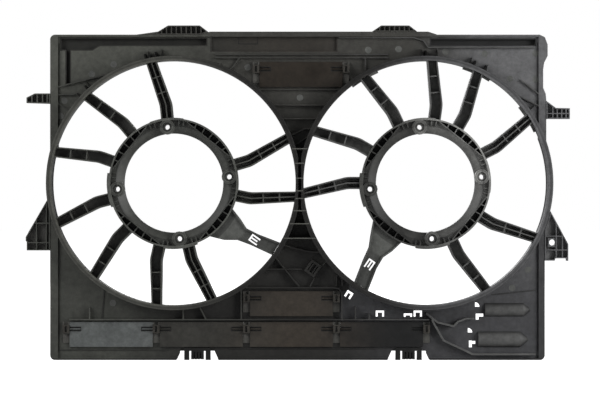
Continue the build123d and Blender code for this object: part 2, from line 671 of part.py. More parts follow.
def arm_plan(centre, angle, inset):
    """Give an arm's outline: radial from the ring to the knee, then leaning to the barrel."""
    knee_radius = RING_RADIUS + ARM_KNEE_OFFSET
    ring_half = ARM_RING_WIDTH / 2 - inset
    barrel_half = ARM_BARREL_WIDTH / 2 - inset
    start = RING_RADIUS - 2 * RIM_WALL
    end = polar((0, 0), BARREL_RADIUS, ARM_LEAN)
    lean = atan2(end[1], end[0] - knee_radius)
    miter = ring_half * sin(lean / 2) / cos(lean / 2)
    reach = (end[0] + BARREL_WALL * cos(lean), end[1] + BARREL_WALL * sin(lean))
    side = (-barrel_half * sin(lean), barrel_half * cos(lean))
    plan = polygon(
        (start, -ring_half),
        (knee_radius + miter, -ring_half),
        (reach[0] - side[0], reach[1] - side[1]),
        (reach[0] + side[0], reach[1] + side[1]),
        (knee_radius - miter, ring_half),
        (start, ring_half),
    )
    knees = [v for v in plan.vertices() if abs(v.X - knee_radius) <= miter + 1]
    return Pos(*centre) * Rot(0, 0, angle) * fillet(knees, ARM_KNEE_RADIUS)


def arm(centre, angle, has_spine, has_pads):
    """Make a channel-shaped arm with its cross ribs, cut to the ring and the barrel bore."""
    between = disc(centre, BARREL_BORE_RADIUS) - ring_plan(centre)
    plan = arm_plan(centre, angle, 0) & between
    inner = arm_plan(centre, angle, ARM_WALL) & between
    floor_y = ARM_BACK_Y - ARM_FLOOR
    shape = slab(plan, ARM_BACK_Y, ARM_FRONT_Y) - slab(inner, floor_y, ARM_FRONT_Y)
    knee = polar(centre, RING_RADIUS + ARM_KNEE_OFFSET, angle)
    end = polar(centre, BARREL_RADIUS, angle + ARM_LEAN)
    across = degrees(atan2(end[1] - knee[1], end[0] - knee[0])) + 90
    ribs = Sketch()
    for share in ARM_CROSS_RIBS:
        place = (knee[0] + share * (end[0] - knee[0]), knee[1] + share * (end[1] - knee[1]))
        half = ARM_RING_WIDTH / 2
        ribs += bar(polar(place, -half, across), polar(place, half, across), RIB_WALL)
    if has_spine:
        ribs += path_bars([polar(centre, MOTOR_BORE_RADIUS, angle), knee, end], RIB_WALL)
    shape += slab(ribs & inner, floor_y, ARM_FRONT_Y + ARM_CROSS_DROP)
    if has_pads:
        band = disc(centre, BARREL_BORE_RADIUS) - disc(centre, BARREL_BORE_RADIUS - ARM_PAD_DEPTH)
        wedge = sector(centre, angle + ARM_LEAN, ARM_PAD_ANGLE, BARREL_BORE_RADIUS)
        shape += slab((band & wedge) - inner, ARM_BACK_Y, ARM_BACK_Y - ARM_PAD_HEIGHT)
    return shape


def duct_plan(centre, angles, widths, inset):
    """Give a cable duct's outline from its stations, wide at the ring and narrow outside."""
    near_side = []
    far_side = []
    for offset_out, angle, width in zip(DUCT_STATIONS, angles, widths):
        radius = RING_RADIUS + offset_out
        spread = degrees((width / 2 - inset) / radius)
        near_side.append(polar(centre, radius, angle - spread))
        far_side.append(polar(centre, radius, angle + spread))
    return polygon(*near_side, *reversed(far_side))


def cable_duct(centre, angles, widths):
    """Make a flat duct with raised side walls and the U-shaped slot of its cable clip."""
    between = disc(centre, BARREL_BORE_RADIUS) - ring_plan(centre)
    plan = duct_plan(centre, angles, widths, 0) & between
    inner = duct_plan(centre, angles, widths, DUCT_WALL_WIDTH) & between
    shape = slab(plan, DUCT_BACK_Y, ARM_FRONT_Y)
    shape -= slab(inner, DUCT_FRONT_Y, ARM_FRONT_Y)
    shape -= slab(inner, DUCT_BACK_Y, DUCT_FRONT_Y + DUCT_FACE_WALL)
    radius = RING_RADIUS + DUCT_STATIONS[3]
    place = polar(centre, radius, angles[3])
    stroke = DUCT_SLOT_STROKE
    tongue = Pos(stroke, 0) * Rectangle(DUCT_SLOT_LENGTH, DUCT_SLOT_WIDTH - 2 * stroke)
    middle_slot = Rectangle(DUCT_SLOT_LENGTH - 2 * stroke, stroke)
    slot = Rectangle(DUCT_SLOT_LENGTH, DUCT_SLOT_WIDTH) - tongue + middle_slot
    placed = Pos(*place) * Rot(0, 0, angles[3]) * slot
    return shape - slab(placed & inner, DUCT_BACK_Y, ARM_FRONT_Y)


def flap(x, hinge_z):
    """Make a flap with back ribs and two moulded hinge pins that lie in shallow recesses."""
    half = FLAP_WIDTH / 2
    top = hinge_z + FLAP_HINGE_DROP
    bottom = top - FLAP_HEIGHT
    shape = slab(box_face(x - half, x + half, bottom, top), FLAP_BACK_Y, FLAP_FRONT_Y)
    recess_half = HINGE_RECESS_HEIGHT / 2
    for side in (-1, 1):
        edges = sorted((x + side * half, x + side * (half - HINGE_RECESS_LENGTH)))
        recess = box_face(*edges, hinge_z - recess_half, hinge_z + recess_half)
        shape -= slab(recess, FLAP_FRONT_Y + HINGE_RECESS_DEPTH, FLAP_FRONT_Y)
    ribs_top = hinge_z - recess_half
    frame = box_face(x - half, x + half, bottom, ribs_top)
    frame -= box_face(x - half + RIB_WALL, x + half - RIB_WALL, bottom + RIB_WALL, ribs_top - RIB_WALL)
    shape += slab(frame, FLAP_BACK_Y + FLAP_BACK_RIB, FLAP_BACK_Y)
    length = HINGE_RECESS_LENGTH + HINGE_PIN_INSERT
    for side in (-1, 1):
        middle = x + side * (half + HINGE_PIN_INSERT - length / 2)
        pin = extrude(RegularPolygon(HINGE_PIN_RADIUS, HINGE_PIN_SIDES), length / 2, both=True)
        shape += Pos(middle, HINGE_Y, hinge_z) * Rot(0, 90, 0) * pin
    return shape


def hinge_post(x, hinge_z, sides):
    """Make a post beside a flap: a low strip, a cap and the box that holds the hinge pins."""
    half = POST_WIDTH / 2
    top = hinge_z + FLAP_HINGE_DROP
    strip = box_face(x - half, x + half, top - FLAP_HEIGHT + WINDOW_LEDGE, top)
    box_half = HINGE_BOX_LENGTH / 2
    box = box_face(x - half, x + half, hinge_z - box_half, hinge_z + box_half)
    slot = Pos(x, hinge_z) * Rectangle(HINGE_BOX_SLOT_WIDTH, HINGE_BOX_LENGTH - 2 * RIB_WALL)
    cap = box_face(x - half, x + half, hinge_z + box_half, top)
    cap -= box_face(x - half + RIB_WALL, x + half - RIB_WALL, hinge_z + box_half, top)
    shape = slab(strip, 0, -POST_HEIGHT) + slab(box, 0, -HINGE_BOX_HEIGHT)
    shape += slab(cap, 0, -HINGE_BOX_SLOT_DEPTH - POST_HEIGHT)
    shape -= slab(slot, HINGE_BOX_SLOT_DEPTH - HINGE_BOX_HEIGHT, -HINGE_BOX_HEIGHT)
    pocket = 2 * (HINGE_PIN_RADIUS + HINGE_PIN_CLEARANCE)
    depth = HINGE_PIN_INSERT - FLAP_SIDE_GAP + FLAP_SEAT_GAP
    for side in sides:
        middle = x + side * (half - depth / 2)
        shape -= Pos(middle, HINGE_Y, hinge_z) * Box(depth, pocket, pocket)
    return shape


def post_row(first_x, hinge_z, count):
    """Make the posts at both ends of a row of flaps and between them."""
    posts = []
    for i in range(count + 1):
        x = first_x + (i - 0.5) * FLAP_PITCH
        sides = [side for side, wanted in ((-1, i > 0), (1, i < count)) if wanted]
        posts.append(hinge_post(x, hinge_z, sides))
    return Compound(children=posts)


def ribs(paths, height, wall=RIB_WALL):
    """Make ribs on the plate along front-view paths, cut where the barrels and edges are."""
    plan = Sketch() + [path_bars(path, wall) for path in paths]
    return slab(plan & RIB_FIELD, 0, -height)


def cell_block(plan, rib_xs, rib_zs=()):
    """Make a block whose front is hollowed into cells between thin ribs."""
    size = plan.bounding_box()
    cells = offset(plan, -CELL_WALL, kind=Kind.INTERSECTION)
    half = CELL_WALL / 2
    for x in rib_xs:
        cells -= box_face(x - half, x + half, size.min.Y, size.max.Y)
    for z in rib_zs:
        cells -= box_face(size.min.X, size.max.X, z - half, z + half)
    floor_y = MOUNT_BACK_Y - CELL_FLOOR
    return slab(plan, MOUNT_BACK_Y, MOUNT_FRONT_Y) - slab(cells, floor_y, MOUNT_FRONT_Y)


def side_mount(side, plan_points, ribs_out, rib_zs=()):
    """Make an ear or bracket on the left or right edge of the body."""
    edge = BODY_LEFT if side < 0 else BODY_RIGHT
    points = [(edge + side * out, z) for out, z in plan_points]
    root_x = edge - side * MOUNT_ROOT
    plan = polygon((root_x, plan_points[0][1]), *points, (root_x, plan_points[-1][1]))
    return cell_block(plan - BULGED_BODY, [edge + side * out for out in ribs_out], rib_zs)


def right_bracket():
    """Make the wedge-shaped bracket with the round locating hole."""
    bracket = side_mount(1, RIGHT_BRACKET_PLAN, RIGHT_BRACKET_RIBS, RIGHT_BRACKET_STRIPS)
    place = (BODY_RIGHT + BRACKET_HOLE_OUT, BRACKET_HOLE_Z)
    boss = Pos(*place) * Rectangle(BRACKET_BOSS_WIDTH, BRACKET_BOSS_WIDTH)
    bracket += slab(boss - BULGED_BODY, MOUNT_BACK_Y, MOUNT_FRONT_Y + BRACKET_BOSS_DROP)
    return bracket - slab(disc(place, BRACKET_HOLE_RADIUS), MOUNT_BACK_Y, MOUNT_FRONT_Y)


def top_tab(plan_points):
    """Make a ribbed tab that stands on the top edge."""
    points = [(x, BODY_TOP + height) for x, height in plan_points]
    left, right = points[0][0], points[-1][0]
    root_z = BODY_TOP - SKIRT_WALL
    plan = polygon(*points, (right, root_z), (left, root_z)) - BULGED_BODY
    count = int((right - left) / CELL_PITCH)
    return cell_block(plan, [left + i * CELL_PITCH for i in range(1, count + 1)])


def snap_clip(x):
    """Make a bottom clip: a ribbed middle block between two spring fingers on one root."""
    top = CLIP_NOTCH_HEIGHT
    half = CLIP_BLOCK_WIDTH / 2
    outer = half + CLIP_FINGER_GAP + CLIP_FINGER_WIDTH
    root = slab(box_face(x - outer, x + outer, top, top + CLIP_ROOT_HEIGHT), 0, -FLANGE_HEIGHT)
    block = box_face(x - half, x + half, CLIP_BLOCK_BOTTOM, top)
    grooves = Sketch()
    for i in range(CLIP_BLOCK_GROOVES):
        groove_x = x - half + (i + 1) * CLIP_BLOCK_WIDTH / (CLIP_BLOCK_GROOVES + 1)
        grooves += box_face(groove_x - CELL_WALL / 2, groove_x + CELL_WALL / 2, 0, top - CELL_WALL)
    middle = slab(block, MOUNT_BACK_Y, -FLANGE_HEIGHT) - slab(grooves, 0, -FLANGE_HEIGHT)
    shape = root + middle
    for side in (-1, 1):
        near, far = sorted((x + side * (half + CLIP_FINGER_GAP), x + side * outer))
        shape += slab(box_face(near, far, 0, top), PLATE_WALL, -FLANGE_HEIGHT)
        shape += slab(box_face(near, far, 0, CLIP_HOOK), PLATE_WALL + CLIP_HOOK, -FLANGE_HEIGHT)
    return shape


def connector_clip():
    """Make the clip for the cable connector, with its two fingers."""
    x, z, turn = CONNECTOR_CLIP
    width, height = CONNECTOR_CLIP_SIZE
    frame = Rectangle(width, height) - Rectangle(width - 4 * RIB_WALL, height - 4 * RIB_WALL)
    shape = slab(Rectangle(width, height), 0, -PLATE_WALL)
    shape += slab(frame, 0, -CONNECTOR_CLIP_HEIGHT)
    for side in (-1, 1):
        finger = Pos(side * width / 6, 0) * Rectangle(RIB_WALL, height - 2 * RIB_WALL)
        shape += slab(finger, 0, -CONNECTOR_CLIP_HEIGHT)
    return Pos(x, 0, z) * Rot(0, -turn, 0) * shape


def cable_bulge(left_inset, right_inset, z, radius):
    """Turn a long blister with a tapered right end and keep what stands out of the plate."""
    left, right = BODY_RIGHT - left_inset, BODY_RIGHT - right_inset
    profile = make_face(
        Polyline((left, 0), (left, radius), (right - radius, radius), (right, radius / 3), (right, 0),
                 close=True)
    )
    blister = Pos(0, BULGE_SINK, z) * revolve(profile, Axis.X)
    front = slab(box_face(left - 1, right + 1, z - radius, z + radius), 0, BULGE_SINK - radius)
    return blister & front


def cable_tray():
    """Make the walls and the two blisters of the cable tray."""
    blisters = [cable_bulge(*UPPER_BULGE), cable_bulge(*LOWER_BULGE)]
    walls = ribs([from_right(path) for path in TRAY_WALL_PATHS], TRAY_WALL_HEIGHT, PLATE_WALL)
    return Compound(children=[*walls.solids(), *blisters])


def across_web(levels):
    """Give level lines from fan to fan."""
    return [((LEFT_FAN[0], z), (RIGHT_FAN[0], z)) for z in levels]


def barrel_gussets(centre, arm_angles):
    """Make pairs of triangular gussets outside a barrel, beside the ends of some arms."""
    foot = BARREL_RADIUS + GUSSET_REACH
    profile = polygon((BARREL_RADIUS, 0), (foot, 0), (BARREL_RADIUS, LIP_Y + BARREL_LIP_SLOPE))
    spread = degrees(ARM_BARREL_WIDTH / 2 / BARREL_RADIUS)
    inside = slab(RIB_FIELD, 0, LIP_Y)
    gussets = []
    for angle in arm_angles:
        for side in (-1, 1):
            fin = extrude(profile, amount=GUSSET_WALL / 2, both=True)
            turn = angle + ARM_LEAN + side * spread
            placed = Pos(centre[0], 0, centre[1]) * Rot(0, -turn, 0) * fin
            gussets.extend((placed & inside).solids())
    return gussets


NODES = {**plates(), **skirts()}
for name, centre, side in (("left", LEFT_FAN, -1), ("right", RIGHT_FAN, 1)):
    NODES[f"{name}_fan_barrel"] = fan_barrel(centre, side)
    NODES[f"{name}_motor_ring"] = motor_ring(centre)
for i, angle in enumerate(LEFT_ARM_ANGLES, 1):
    NODES[f"left_arm_{i}"] = arm(LEFT_FAN, angle, i in LEFT_ARMS_WITH_SPINE, False)
for i, angle in enumerate(RIGHT_ARM_ANGLES, 1):
    has_pads = i in RIGHT_ARMS_WITH_PADS
    NODES[f"right_arm_{i}"] = arm(RIGHT_FAN, angle, i in RIGHT_ARMS_WITH_SPINE, has_pads)
NODES["left_cable_duct"] = cable_duct(LEFT_FAN, LEFT_DUCT_ANGLES, LEFT_DUCT_WIDTHS)
NODES["right_cable_duct"] = cable_duct(RIGHT_FAN, RIGHT_DUCT_ANGLES, RIGHT_DUCT_WIDTHS)
for name, place in FLAPS.items():
    NODES[name] = flap(*place)
NODES["lower_hinge_posts"] = post_row(LOWER_FLAP_FIRST_X, LOWER_FLAP_HINGE_Z, LOWER_FLAP_COUNT)
NODES["middle_hinge_posts"] = post_row(MIDDLE_FLAP_X, MIDDLE_FLAP_HINGE_Z, 1)
NODES["top_hinge_posts"] = post_row(TOP_FLAP_X, TOP_FLAP_HINGE_Z, 1)
NODES["left_upper_ear"] = side_mount(-1, LEFT_EAR_PLAN, LEFT_EAR_RIBS)
NODES["right_upper_ear"] = side_mount(1, RIGHT_EAR_PLAN, RIGHT_EAR_RIBS, [RIGHT_EAR_STRIP_Z])
NODES["left_lower_bracket"] = side_mount(-1, LEFT_BRACKET_PLAN, LEFT_BRACKET_RIBS, LEFT_BRACKET_STRIPS)
NODES["right_lower_bracket"] = right_bracket()
NODES["left_top_tab"] = top_tab(LEFT_TAB_PLAN)
NODES["right_top_tab"] = top_tab(RIGHT_TAB_PLAN)
NODES["left_bottom_clip"] = snap_clip(CLIP_CENTRES[0])
NODES["right_bottom_clip"] = snap_clip(CLIP_CENTRES[1])
NODES["connector_clip"] = connector_clip()
NODES["cable_tray"] = cable_tray()
NODES["recess_trays"] = Compound(children=[recess_tray(*recess) for recess in RECESSES])
web_ribs = ribs([*across_web(WEB_RIB_LEVELS), *WEB_RIB_PATHS], RIB_HEIGHT)
NODES["web_ribs"] = web_ribs + ribs(across_web(TROUGH_RIB_LEVELS), TROUGH_RIB_HEIGHT)
NODES["upper_ribs"] = ribs([below_top(path) for path in UPPER_RIB_PATHS], LOW_RIB_HEIGHT)
lower_ribs = ribs(LOWER_RIB_PATHS, RIB_HEIGHT).solids()
NODES["lower_ribs"] = Compound(children=[*lower_ribs, *ribs(FOLD_LINE_PATHS, FOLD_LINE_HEIGHT).solids()])
left_gussets = barrel_gussets(LEFT_FAN, LEFT_GUSSET_ARMS)
NODES["barrel_gussets"] = Compound(children=[*left_gussets, *barrel_gussets(RIGHT_FAN, RIGHT_GUSSET_ARMS)])

os.makedirs("parts", exist_ok=True)
for name, shape in NODES.items():
    export_step(shape, f"parts/{name}.step")
    print(name, len(shape.solids()), round(shape.volume))
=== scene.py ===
import json
from math import cos, radians, sin, sqrt

import bmesh
import bpy
from mathutils import Matrix, Vector

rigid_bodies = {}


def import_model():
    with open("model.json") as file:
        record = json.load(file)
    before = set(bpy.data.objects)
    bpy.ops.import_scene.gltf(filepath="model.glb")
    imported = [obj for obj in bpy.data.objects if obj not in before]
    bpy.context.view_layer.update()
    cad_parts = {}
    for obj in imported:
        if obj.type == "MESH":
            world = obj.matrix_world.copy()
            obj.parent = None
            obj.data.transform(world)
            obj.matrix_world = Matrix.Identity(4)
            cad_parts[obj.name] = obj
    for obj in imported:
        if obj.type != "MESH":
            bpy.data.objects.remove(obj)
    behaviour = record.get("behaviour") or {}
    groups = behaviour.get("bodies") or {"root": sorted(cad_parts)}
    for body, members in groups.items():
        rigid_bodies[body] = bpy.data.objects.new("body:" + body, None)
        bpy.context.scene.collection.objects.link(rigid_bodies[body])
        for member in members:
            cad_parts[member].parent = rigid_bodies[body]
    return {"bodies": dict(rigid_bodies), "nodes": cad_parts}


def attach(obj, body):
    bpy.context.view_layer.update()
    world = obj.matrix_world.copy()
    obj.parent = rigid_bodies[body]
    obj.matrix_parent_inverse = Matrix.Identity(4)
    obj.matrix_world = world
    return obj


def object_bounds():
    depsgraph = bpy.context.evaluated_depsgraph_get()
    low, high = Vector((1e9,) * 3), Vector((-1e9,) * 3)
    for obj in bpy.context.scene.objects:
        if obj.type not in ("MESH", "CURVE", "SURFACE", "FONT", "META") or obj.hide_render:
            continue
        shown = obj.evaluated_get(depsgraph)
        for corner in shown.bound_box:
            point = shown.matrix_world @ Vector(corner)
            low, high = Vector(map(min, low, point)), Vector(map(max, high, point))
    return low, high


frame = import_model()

bl_info = {
    "name": "Radiator fan shroud",
    "version": (1, 0, 0),
    "blender": (4, 5, 0),
    "location": "View3D > Sidebar > Shroud",
    "description": "Finishes the moulded twin-fan radiator shroud and sets its stage",
    "category": "Object",
}

CAD_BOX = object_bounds()
FLAPS = [name for name in frame["bodies"] if name != "root"]
MM = 0.001

# The fans' axes lie FAN_OUT to each side of FAN_MIDDLE, and the barrels' lips end at LIP_FRONT
FAN_MIDDLE = 1.5 * MM
FAN_OUT = 165.2 * MM
FAN_HEIGHT = 233.3 * MM
FAN_BORE = 161.2 * MM
LIP_FRONT = -30 * MM
BOLT_CIRCLE = 73.5 * MM
FIRST_BOLT = radians(6.3)

# How far a hinge pin stands out beside its flap, and how far its axis lies under the flap's top
FLAP_PIN = 3.0 * MM
HINGE_DROP = 9.3 * MM

# A ramp's colours end at 1, so the painted highlight and shade lines are stored in it as a share of this
LIGHT_AND_SHADE_PEAK = 1.6

# Shares of the part's height between which the lower colours give way to the upper ones; on the plate, skirt,
# ribs, corner panel and rings the lower colours are darker, painting shade low down and light higher up
LOWER_TONES = 0.08
UPPER_TONES = 0.8

# Depths where painted shade towards the floors starts and where the floors take their full painted shade
PLATE_DEEP = 14 * MM
LINE_DEEP = 5 * MM
GUSSET_SHADE_START = -22 * MM
GUSSET_DEEP = 2 * MM
FLAP_SHADE_START = -3.9 * MM
FLAP_DEEP = -2.4 * MM

# Trim that stands on the barrels' lips rises this far in front of them
TRIM_RISE = 0.15 * MM


def linear(hex_colour):
    """Turn an sRGB hex colour into the linear values that Blender's sockets take."""
    values = [int(hex_colour[i:i + 2], 16) / 255 for i in (1, 3, 5)]
    return tuple(v / 12.92 if v <= 0.04045 else ((v + 0.055) / 1.055) ** 2.4 for v in values)


def tone(name, description, hex_colour):
    return bpy.props.FloatVectorProperty(
        name=name, description=description, subtype="COLOR", size=3, min=0, max=1, default=linear(hex_colour))


class ShroudFinish(bpy.types.PropertyGroup):
    """Colours and grain of the moulded plastic; many of the colours carry painted light and shade."""

    # The plate's colours carry painted light and shade: paler at the top left and the top right where the
    # light falls, with painted shade low down between the fans; the top right is also bluer
    upper_left: tone("Upper left", "Plate at the top left", "#4b4c46")
    upper_middle: tone("Upper middle", "Plate between the fans at the top", "#3b3a36")
    upper_right: tone("Upper right", "Plate at the top right, bluer than the rest", "#606061")
    lower_left: tone("Lower left", "Plate at the bottom left", "#40413c")
    lower_middle_shade: tone("Lower middle", "Plate at the bottom middle", "#232220")
    lower_right: tone("Lower right", "Plate at the bottom right", "#404042")
    recess_left: tone("Left recess", "Trench at the top left, in shade", "#282824")
    recess_middle: tone("Crown recess", "Recess over the fans, browner than the plate", "#302c26")
    recess_right: tone("Right recess", "Trench at the top right, in shade", "#252525")
    # The barrels' colours carry painted light and shade: paler at the right, with painted shade where the
    # barrels nearly touch
    barrel_left: tone("Left barrel", "Barrel rim at the left", "#42423d")
    barrel_middle_shade: tone("Barrels between the fans", "Barrel rims where they nearly touch", "#1b1a18")
    barrel_right: tone("Right barrel", "Barrel rim at the right", "#4e4e4f")
    ring_left: tone("Left motor ring", "Dished face of the left motor ring", "#474844")
    ring_near: tone("Right motor ring, near side", "Right ring towards the middle, in shade", "#3c3c39")
    ring_far: tone("Right motor ring, far side", "Right ring away from the middle, in light", "#80807d")
    ring_low: tone("Right motor ring, underside", "Lower half of the right ring, out of the light", "#2a2a29")
    # The next two colours are painted shade low on the lower right panel beside the cable tray and painted
    # light higher up
    corner_painted_shade: tone("Lower right corner, low", "Lower right panel beside the cable tray", "#3e3e40")
    corner_painted_light: tone("Lower right corner, high", "What the lower right panel lightens towards", "#909091")
    # The next colour is painted shade on the lower half of the right skirt
    skirt_right: tone("Right skirt", "Lower half of the right skirt", "#333334")
    # The next colour is painted shade that makes the gussets nearly black; the snap clips share it
    gusset: tone("Gussets", "Gussets behind the arms' feet and the snap clips, nearly black", "#1c1c1a")
    # The next two colours are painted highlight on the rims of walls and ribs, paler at the right where the
    # light falls
    edge: tone("Edge", "Highlighted rims of walls and ribs", "#4a4b46")
    edge_highlight_right: tone("Right edge", "Highlighted rims of walls and ribs at the right", "#555554")
    duct_face: tone("Duct face", "Flat faces of the cable ducts", "#4a4b48")
    # The next four colours paint the floors of arms and cells lighter to stand for light reaching into them,
    # paler still at the right where the light falls
    arm_floor: tone("Arm floor", "Floors of the channel arms", "#4a4a47")
    arm_floor_right: tone("Right arm floor", "Floors of the channel arms at the right, lit", "#6a6a68")
    cell_floor: tone("Cell floor", "Floors of the cells in ears and brackets", "#4c4b47")
    cell_floor_right: tone("Right cell floor", "Floors of the cells at the right", "#707070")
    # The next colour is painted highlight on the rib crests between the barrels
    neck_rib_highlight: tone("Neck ribs", "Crests of the ribs between the barrels", "#555550")
    # The next colour darkens the hinge posts partly with painted shade
    post: tone("Hinge posts", "Posts that carry the flaps", "#33302b")
    # The next colour is painted shade on the floors of channels and pockets
    deep: tone("Deep", "Floors of channels and pockets, which stay shadowed", "#0f0f0e")
    flap_left: tone("Left flaps", "Second of the lower flaps", "#353430")
    flap_middle: tone("Middle flaps", "Third lower flap and the one above it, slightly brown", "#38322b")
    flap_right: tone("Right flaps", "Fourth of the lower flaps", "#171717")
    flap_top: tone("Top flap", "Flap under the crown, dark brown", "#28221b")
    # The next colour is the first flap's tone made paler by painted highlight
    first_flap: tone("First flap", "Lower flap at the left, greyer and glossier than the others", "#5c5f5e")
    # The next colour is painted shadow in the sharp creases
    crease_shadow: tone("Sharp lines", "Sharp creases round the flaps' hinge marks and in the crown", "#141412")
    ejector_mark: tone("Ejector mark", "Round marks left by the mould's ejector pins", "#5a5b58")
    grain: bpy.props.FloatProperty(
        name="Grain", description="Width of the mould's spark-eroded grain",
        unit="LENGTH", min=0.1 * MM, max=5 * MM, default=0.9 * MM)
    mottle: bpy.props.FloatProperty(
        name="Mottle", description="Width of the flow marks in the plastic",
        unit="LENGTH", min=5 * MM, max=200 * MM, default=26 * MM)
    edge_round: bpy.props.FloatProperty(
        name="Edge round", description="Radius of the mould's broken edges",
        unit="LENGTH", min=0, max=2 * MM, default=0.5 * MM)
    ejector_radius: bpy.props.FloatProperty(
        name="Ejector radius", description="Radius of the mould's ejector pins",
        unit="LENGTH", min=1 * MM, max=12 * MM, default=4.4 * MM)


class ShroudStage(bpy.types.PropertyGroup):
    """Camera, lamps and floor round the shroud."""

    camera_distance: bpy.props.FloatProperty(
        name="Camera distance", description="From the camera to the front of the plate",
        unit="LENGTH", min=0.5, max=10, default=3.0)
    frame_width: bpy.props.FloatProperty(
        name="Frame width", description="Width of the view at the front of the plate",
        unit="LENGTH", min=0.2, max=3, default=0.792)
    dome_strength: bpy.props.FloatProperty(
        name="Dome strength", description="Light from all round",
        min=0, max=3, default=0.17)
    key_power: bpy.props.FloatProperty(
        name="Key power", description="Soft lamp at the upper left, in watts",
        min=0, max=500, default=27)
    fill_power: bpy.props.FloatProperty(
        name="Fill power", description="Soft lamp at the right, in watts",
        min=0, max=500, default=34)
    back_power: bpy.props.FloatProperty(
        name="Back power", description="Soft lamp behind the part, in watts",
        min=0, max=500, default=24)


def finish_of():
    return bpy.context.scene.shroud_finish


def add(tree, kind, inputs=None, **settings):
    """Add a node, set it, and give its inputs either a value or a link."""
    node = tree.nodes.new(kind)
    for name, value in settings.items():
        setattr(node, name, value)
    for name, value in (inputs or {}).items():
        if isinstance(value, bpy.types.NodeSocket):
            tree.links.new(value, node.inputs[name])
        else:
            node.inputs[name].default_value = value
    return node


def rgba(colour):
    return (*colour, 1.0)


def stops_on(ramp, stops):
    """Give a colour ramp its stops, each a place from 0 to 1 and a colour."""
    elements = ramp.color_ramp.elements
    elements.remove(elements[1])
    elements[0].position, elements[0].color = stops[0][0], rgba(stops[0][1])
    for position, colour in stops[1:]:
        elements.new(position).color = rgba(colour)


def colour_across(tree, across, stops):
    """Blend colours from the left of the part to its right."""
    ramp = add(tree, "ShaderNodeValToRGB", {"Fac": across})
    ramp.color_ramp.interpolation = "EASE"
    stops_on(ramp, stops)
    return ramp.outputs["Color"]


def maths(tree, operation, *values):
    """Give the result of one sum on numbers."""
    return add(tree, "ShaderNodeMath", dict(enumerate(values)), operation=operation).outputs[0]


def length_of(tree, vector):
    return add(tree, "ShaderNodeVectorMath", {0: vector}, operation="LENGTH").outputs["Value"]


def product_of(tree, first, second):
    """Multiply two colours."""
    return add(tree, "ShaderNodeVectorMath", {0: first, 1: second}, operation="MULTIPLY").outputs["Vector"]


def scaled_by(tree, colour, share):
    """Multiply a colour by one number."""
    return add(tree, "ShaderNodeVectorMath", {0: colour, "Scale": share}, operation="SCALE").outputs["Vector"]


def banded(tree, distance, bands):
    """Give the painted highlight and shade at a distance, from pairs of millimetres and a share of the plain
    tone.
    """
    first, last = bands[0][0], bands[-1][0]
    share = add(tree, "ShaderNodeMapRange", {
        "Value": distance, "From Min": first * MM, "From Max": last * MM}).outputs["Result"]
    ramp = add(tree, "ShaderNodeValToRGB", {"Fac": share})
    stops_on(ramp, [((at - first) / (last - first), (painted_light_and_shade / LIGHT_AND_SHADE_PEAK,) * 3) for at, painted_light_and_shade in bands])
    return scaled_by(tree, ramp.outputs["Color"], LIGHT_AND_SHADE_PEAK)


def from_fan(tree, place):
    """Give the place across and up from the axis of the nearer fan."""
    axes = add(tree, "ShaderNodeSeparateXYZ", {"Vector": place})
    out = maths(tree, "SUBTRACT", axes.outputs["X"], FAN_MIDDLE)
    side = maths(tree, "SIGN", out)
    across = maths(tree, "MULTIPLY_ADD", side, -FAN_OUT, out)
    up = maths(tree, "SUBTRACT", axes.outputs["Z"], FAN_HEIGHT)
    return add(tree, "ShaderNodeCombineXYZ", {"X": across, "Y": up}).outputs["Vector"]


def barrel_lip_highlight_and_shade(tree, place):
    """Painted highlight along a barrel's bore, a band of painted shade behind it and a painted shadow line
    where the plate starts.
    """
    return banded(tree, length_of(tree, from_fan(tree, place)), (
        (160.6, 1.5), (162.0, 1.4), (162.6, 0.75), (164.6, 0.8), (165.2, 1.15), (165.9, 1.05),
        (166.4, 0.45)))


def bottom_edge_shade_and_highlight(tree, place):
    """Painted shade along the bottom edge, which turns down away from the light, with a painted highlight
    line above it.
    """
    height = add(tree, "ShaderNodeSeparateXYZ", {"Vector": place}).outputs["Z"]
    return banded(tree, height, ((0.0, 0.4), (1.8, 0.45), (2.6, 1.2), (3.6, 1.15), (4.6, 1.0)))


def duct_bands(tree, place):
    """Painted shade in a strip beside the ring, then a paler face and a darker neck."""
    return banded(tree, length_of(tree, from_fan(tree, place)), (
        (84.0, 0.7), (92.0, 0.75), (93.0, 1.3), (111.0, 1.25), (115.0, 0.8), (160.0, 0.75)))


def ring_highlight_and_shade(tree, place):
    """Painted highlight lines along a ring's two rims, painted shade in a crease at the foot of the dish, and
    circles of painted highlight and shade round the bolts.
    """
    spot = from_fan(tree, place)
    rims = banded(tree, length_of(tree, spot), (
        (64.0, 1.45), (65.9, 1.35), (66.6, 1.05), (73.6, 1.0), (74.6, 0.55), (76.2, 0.6), (77.4, 0.78),
        (81.6, 0.75), (82.5, 1.4), (84.5, 1.3)))
    turned = add(tree, "ShaderNodeVectorRotate", {
        "Vector": spot, "Angle": -FIRST_BOLT}, rotation_type="Z_AXIS")
    quarter = add(tree, "ShaderNodeVectorMath", {0: turned.outputs["Vector"]}, operation="ABSOLUTE")
    sides = add(tree, "ShaderNodeSeparateXYZ", {"Vector": quarter.outputs["Vector"]}).outputs
    along = maths(tree, "MAXIMUM", sides["X"], sides["Y"])
    beside = maths(tree, "MINIMUM", sides["X"], sides["Y"])
    from_bolt = maths(tree, "SUBTRACT", along, BOLT_CIRCLE)
    bolt_spot = add(tree, "ShaderNodeCombineXYZ", {"X": from_bolt, "Y": beside}).outputs["Vector"]
    circles = banded(tree, length_of(tree, bolt_spot), (
        (3.0, 1.2), (4.4, 1.0), (5.2, 0.6), (6.0, 0.65), (6.5, 1.4), (7.4, 1.3), (7.9, 0.7), (8.5, 0.75),
        (9.0, 1.3), (9.8, 1.15), (10.2, 1.0)))
    return product_of(tree, rims, circles)


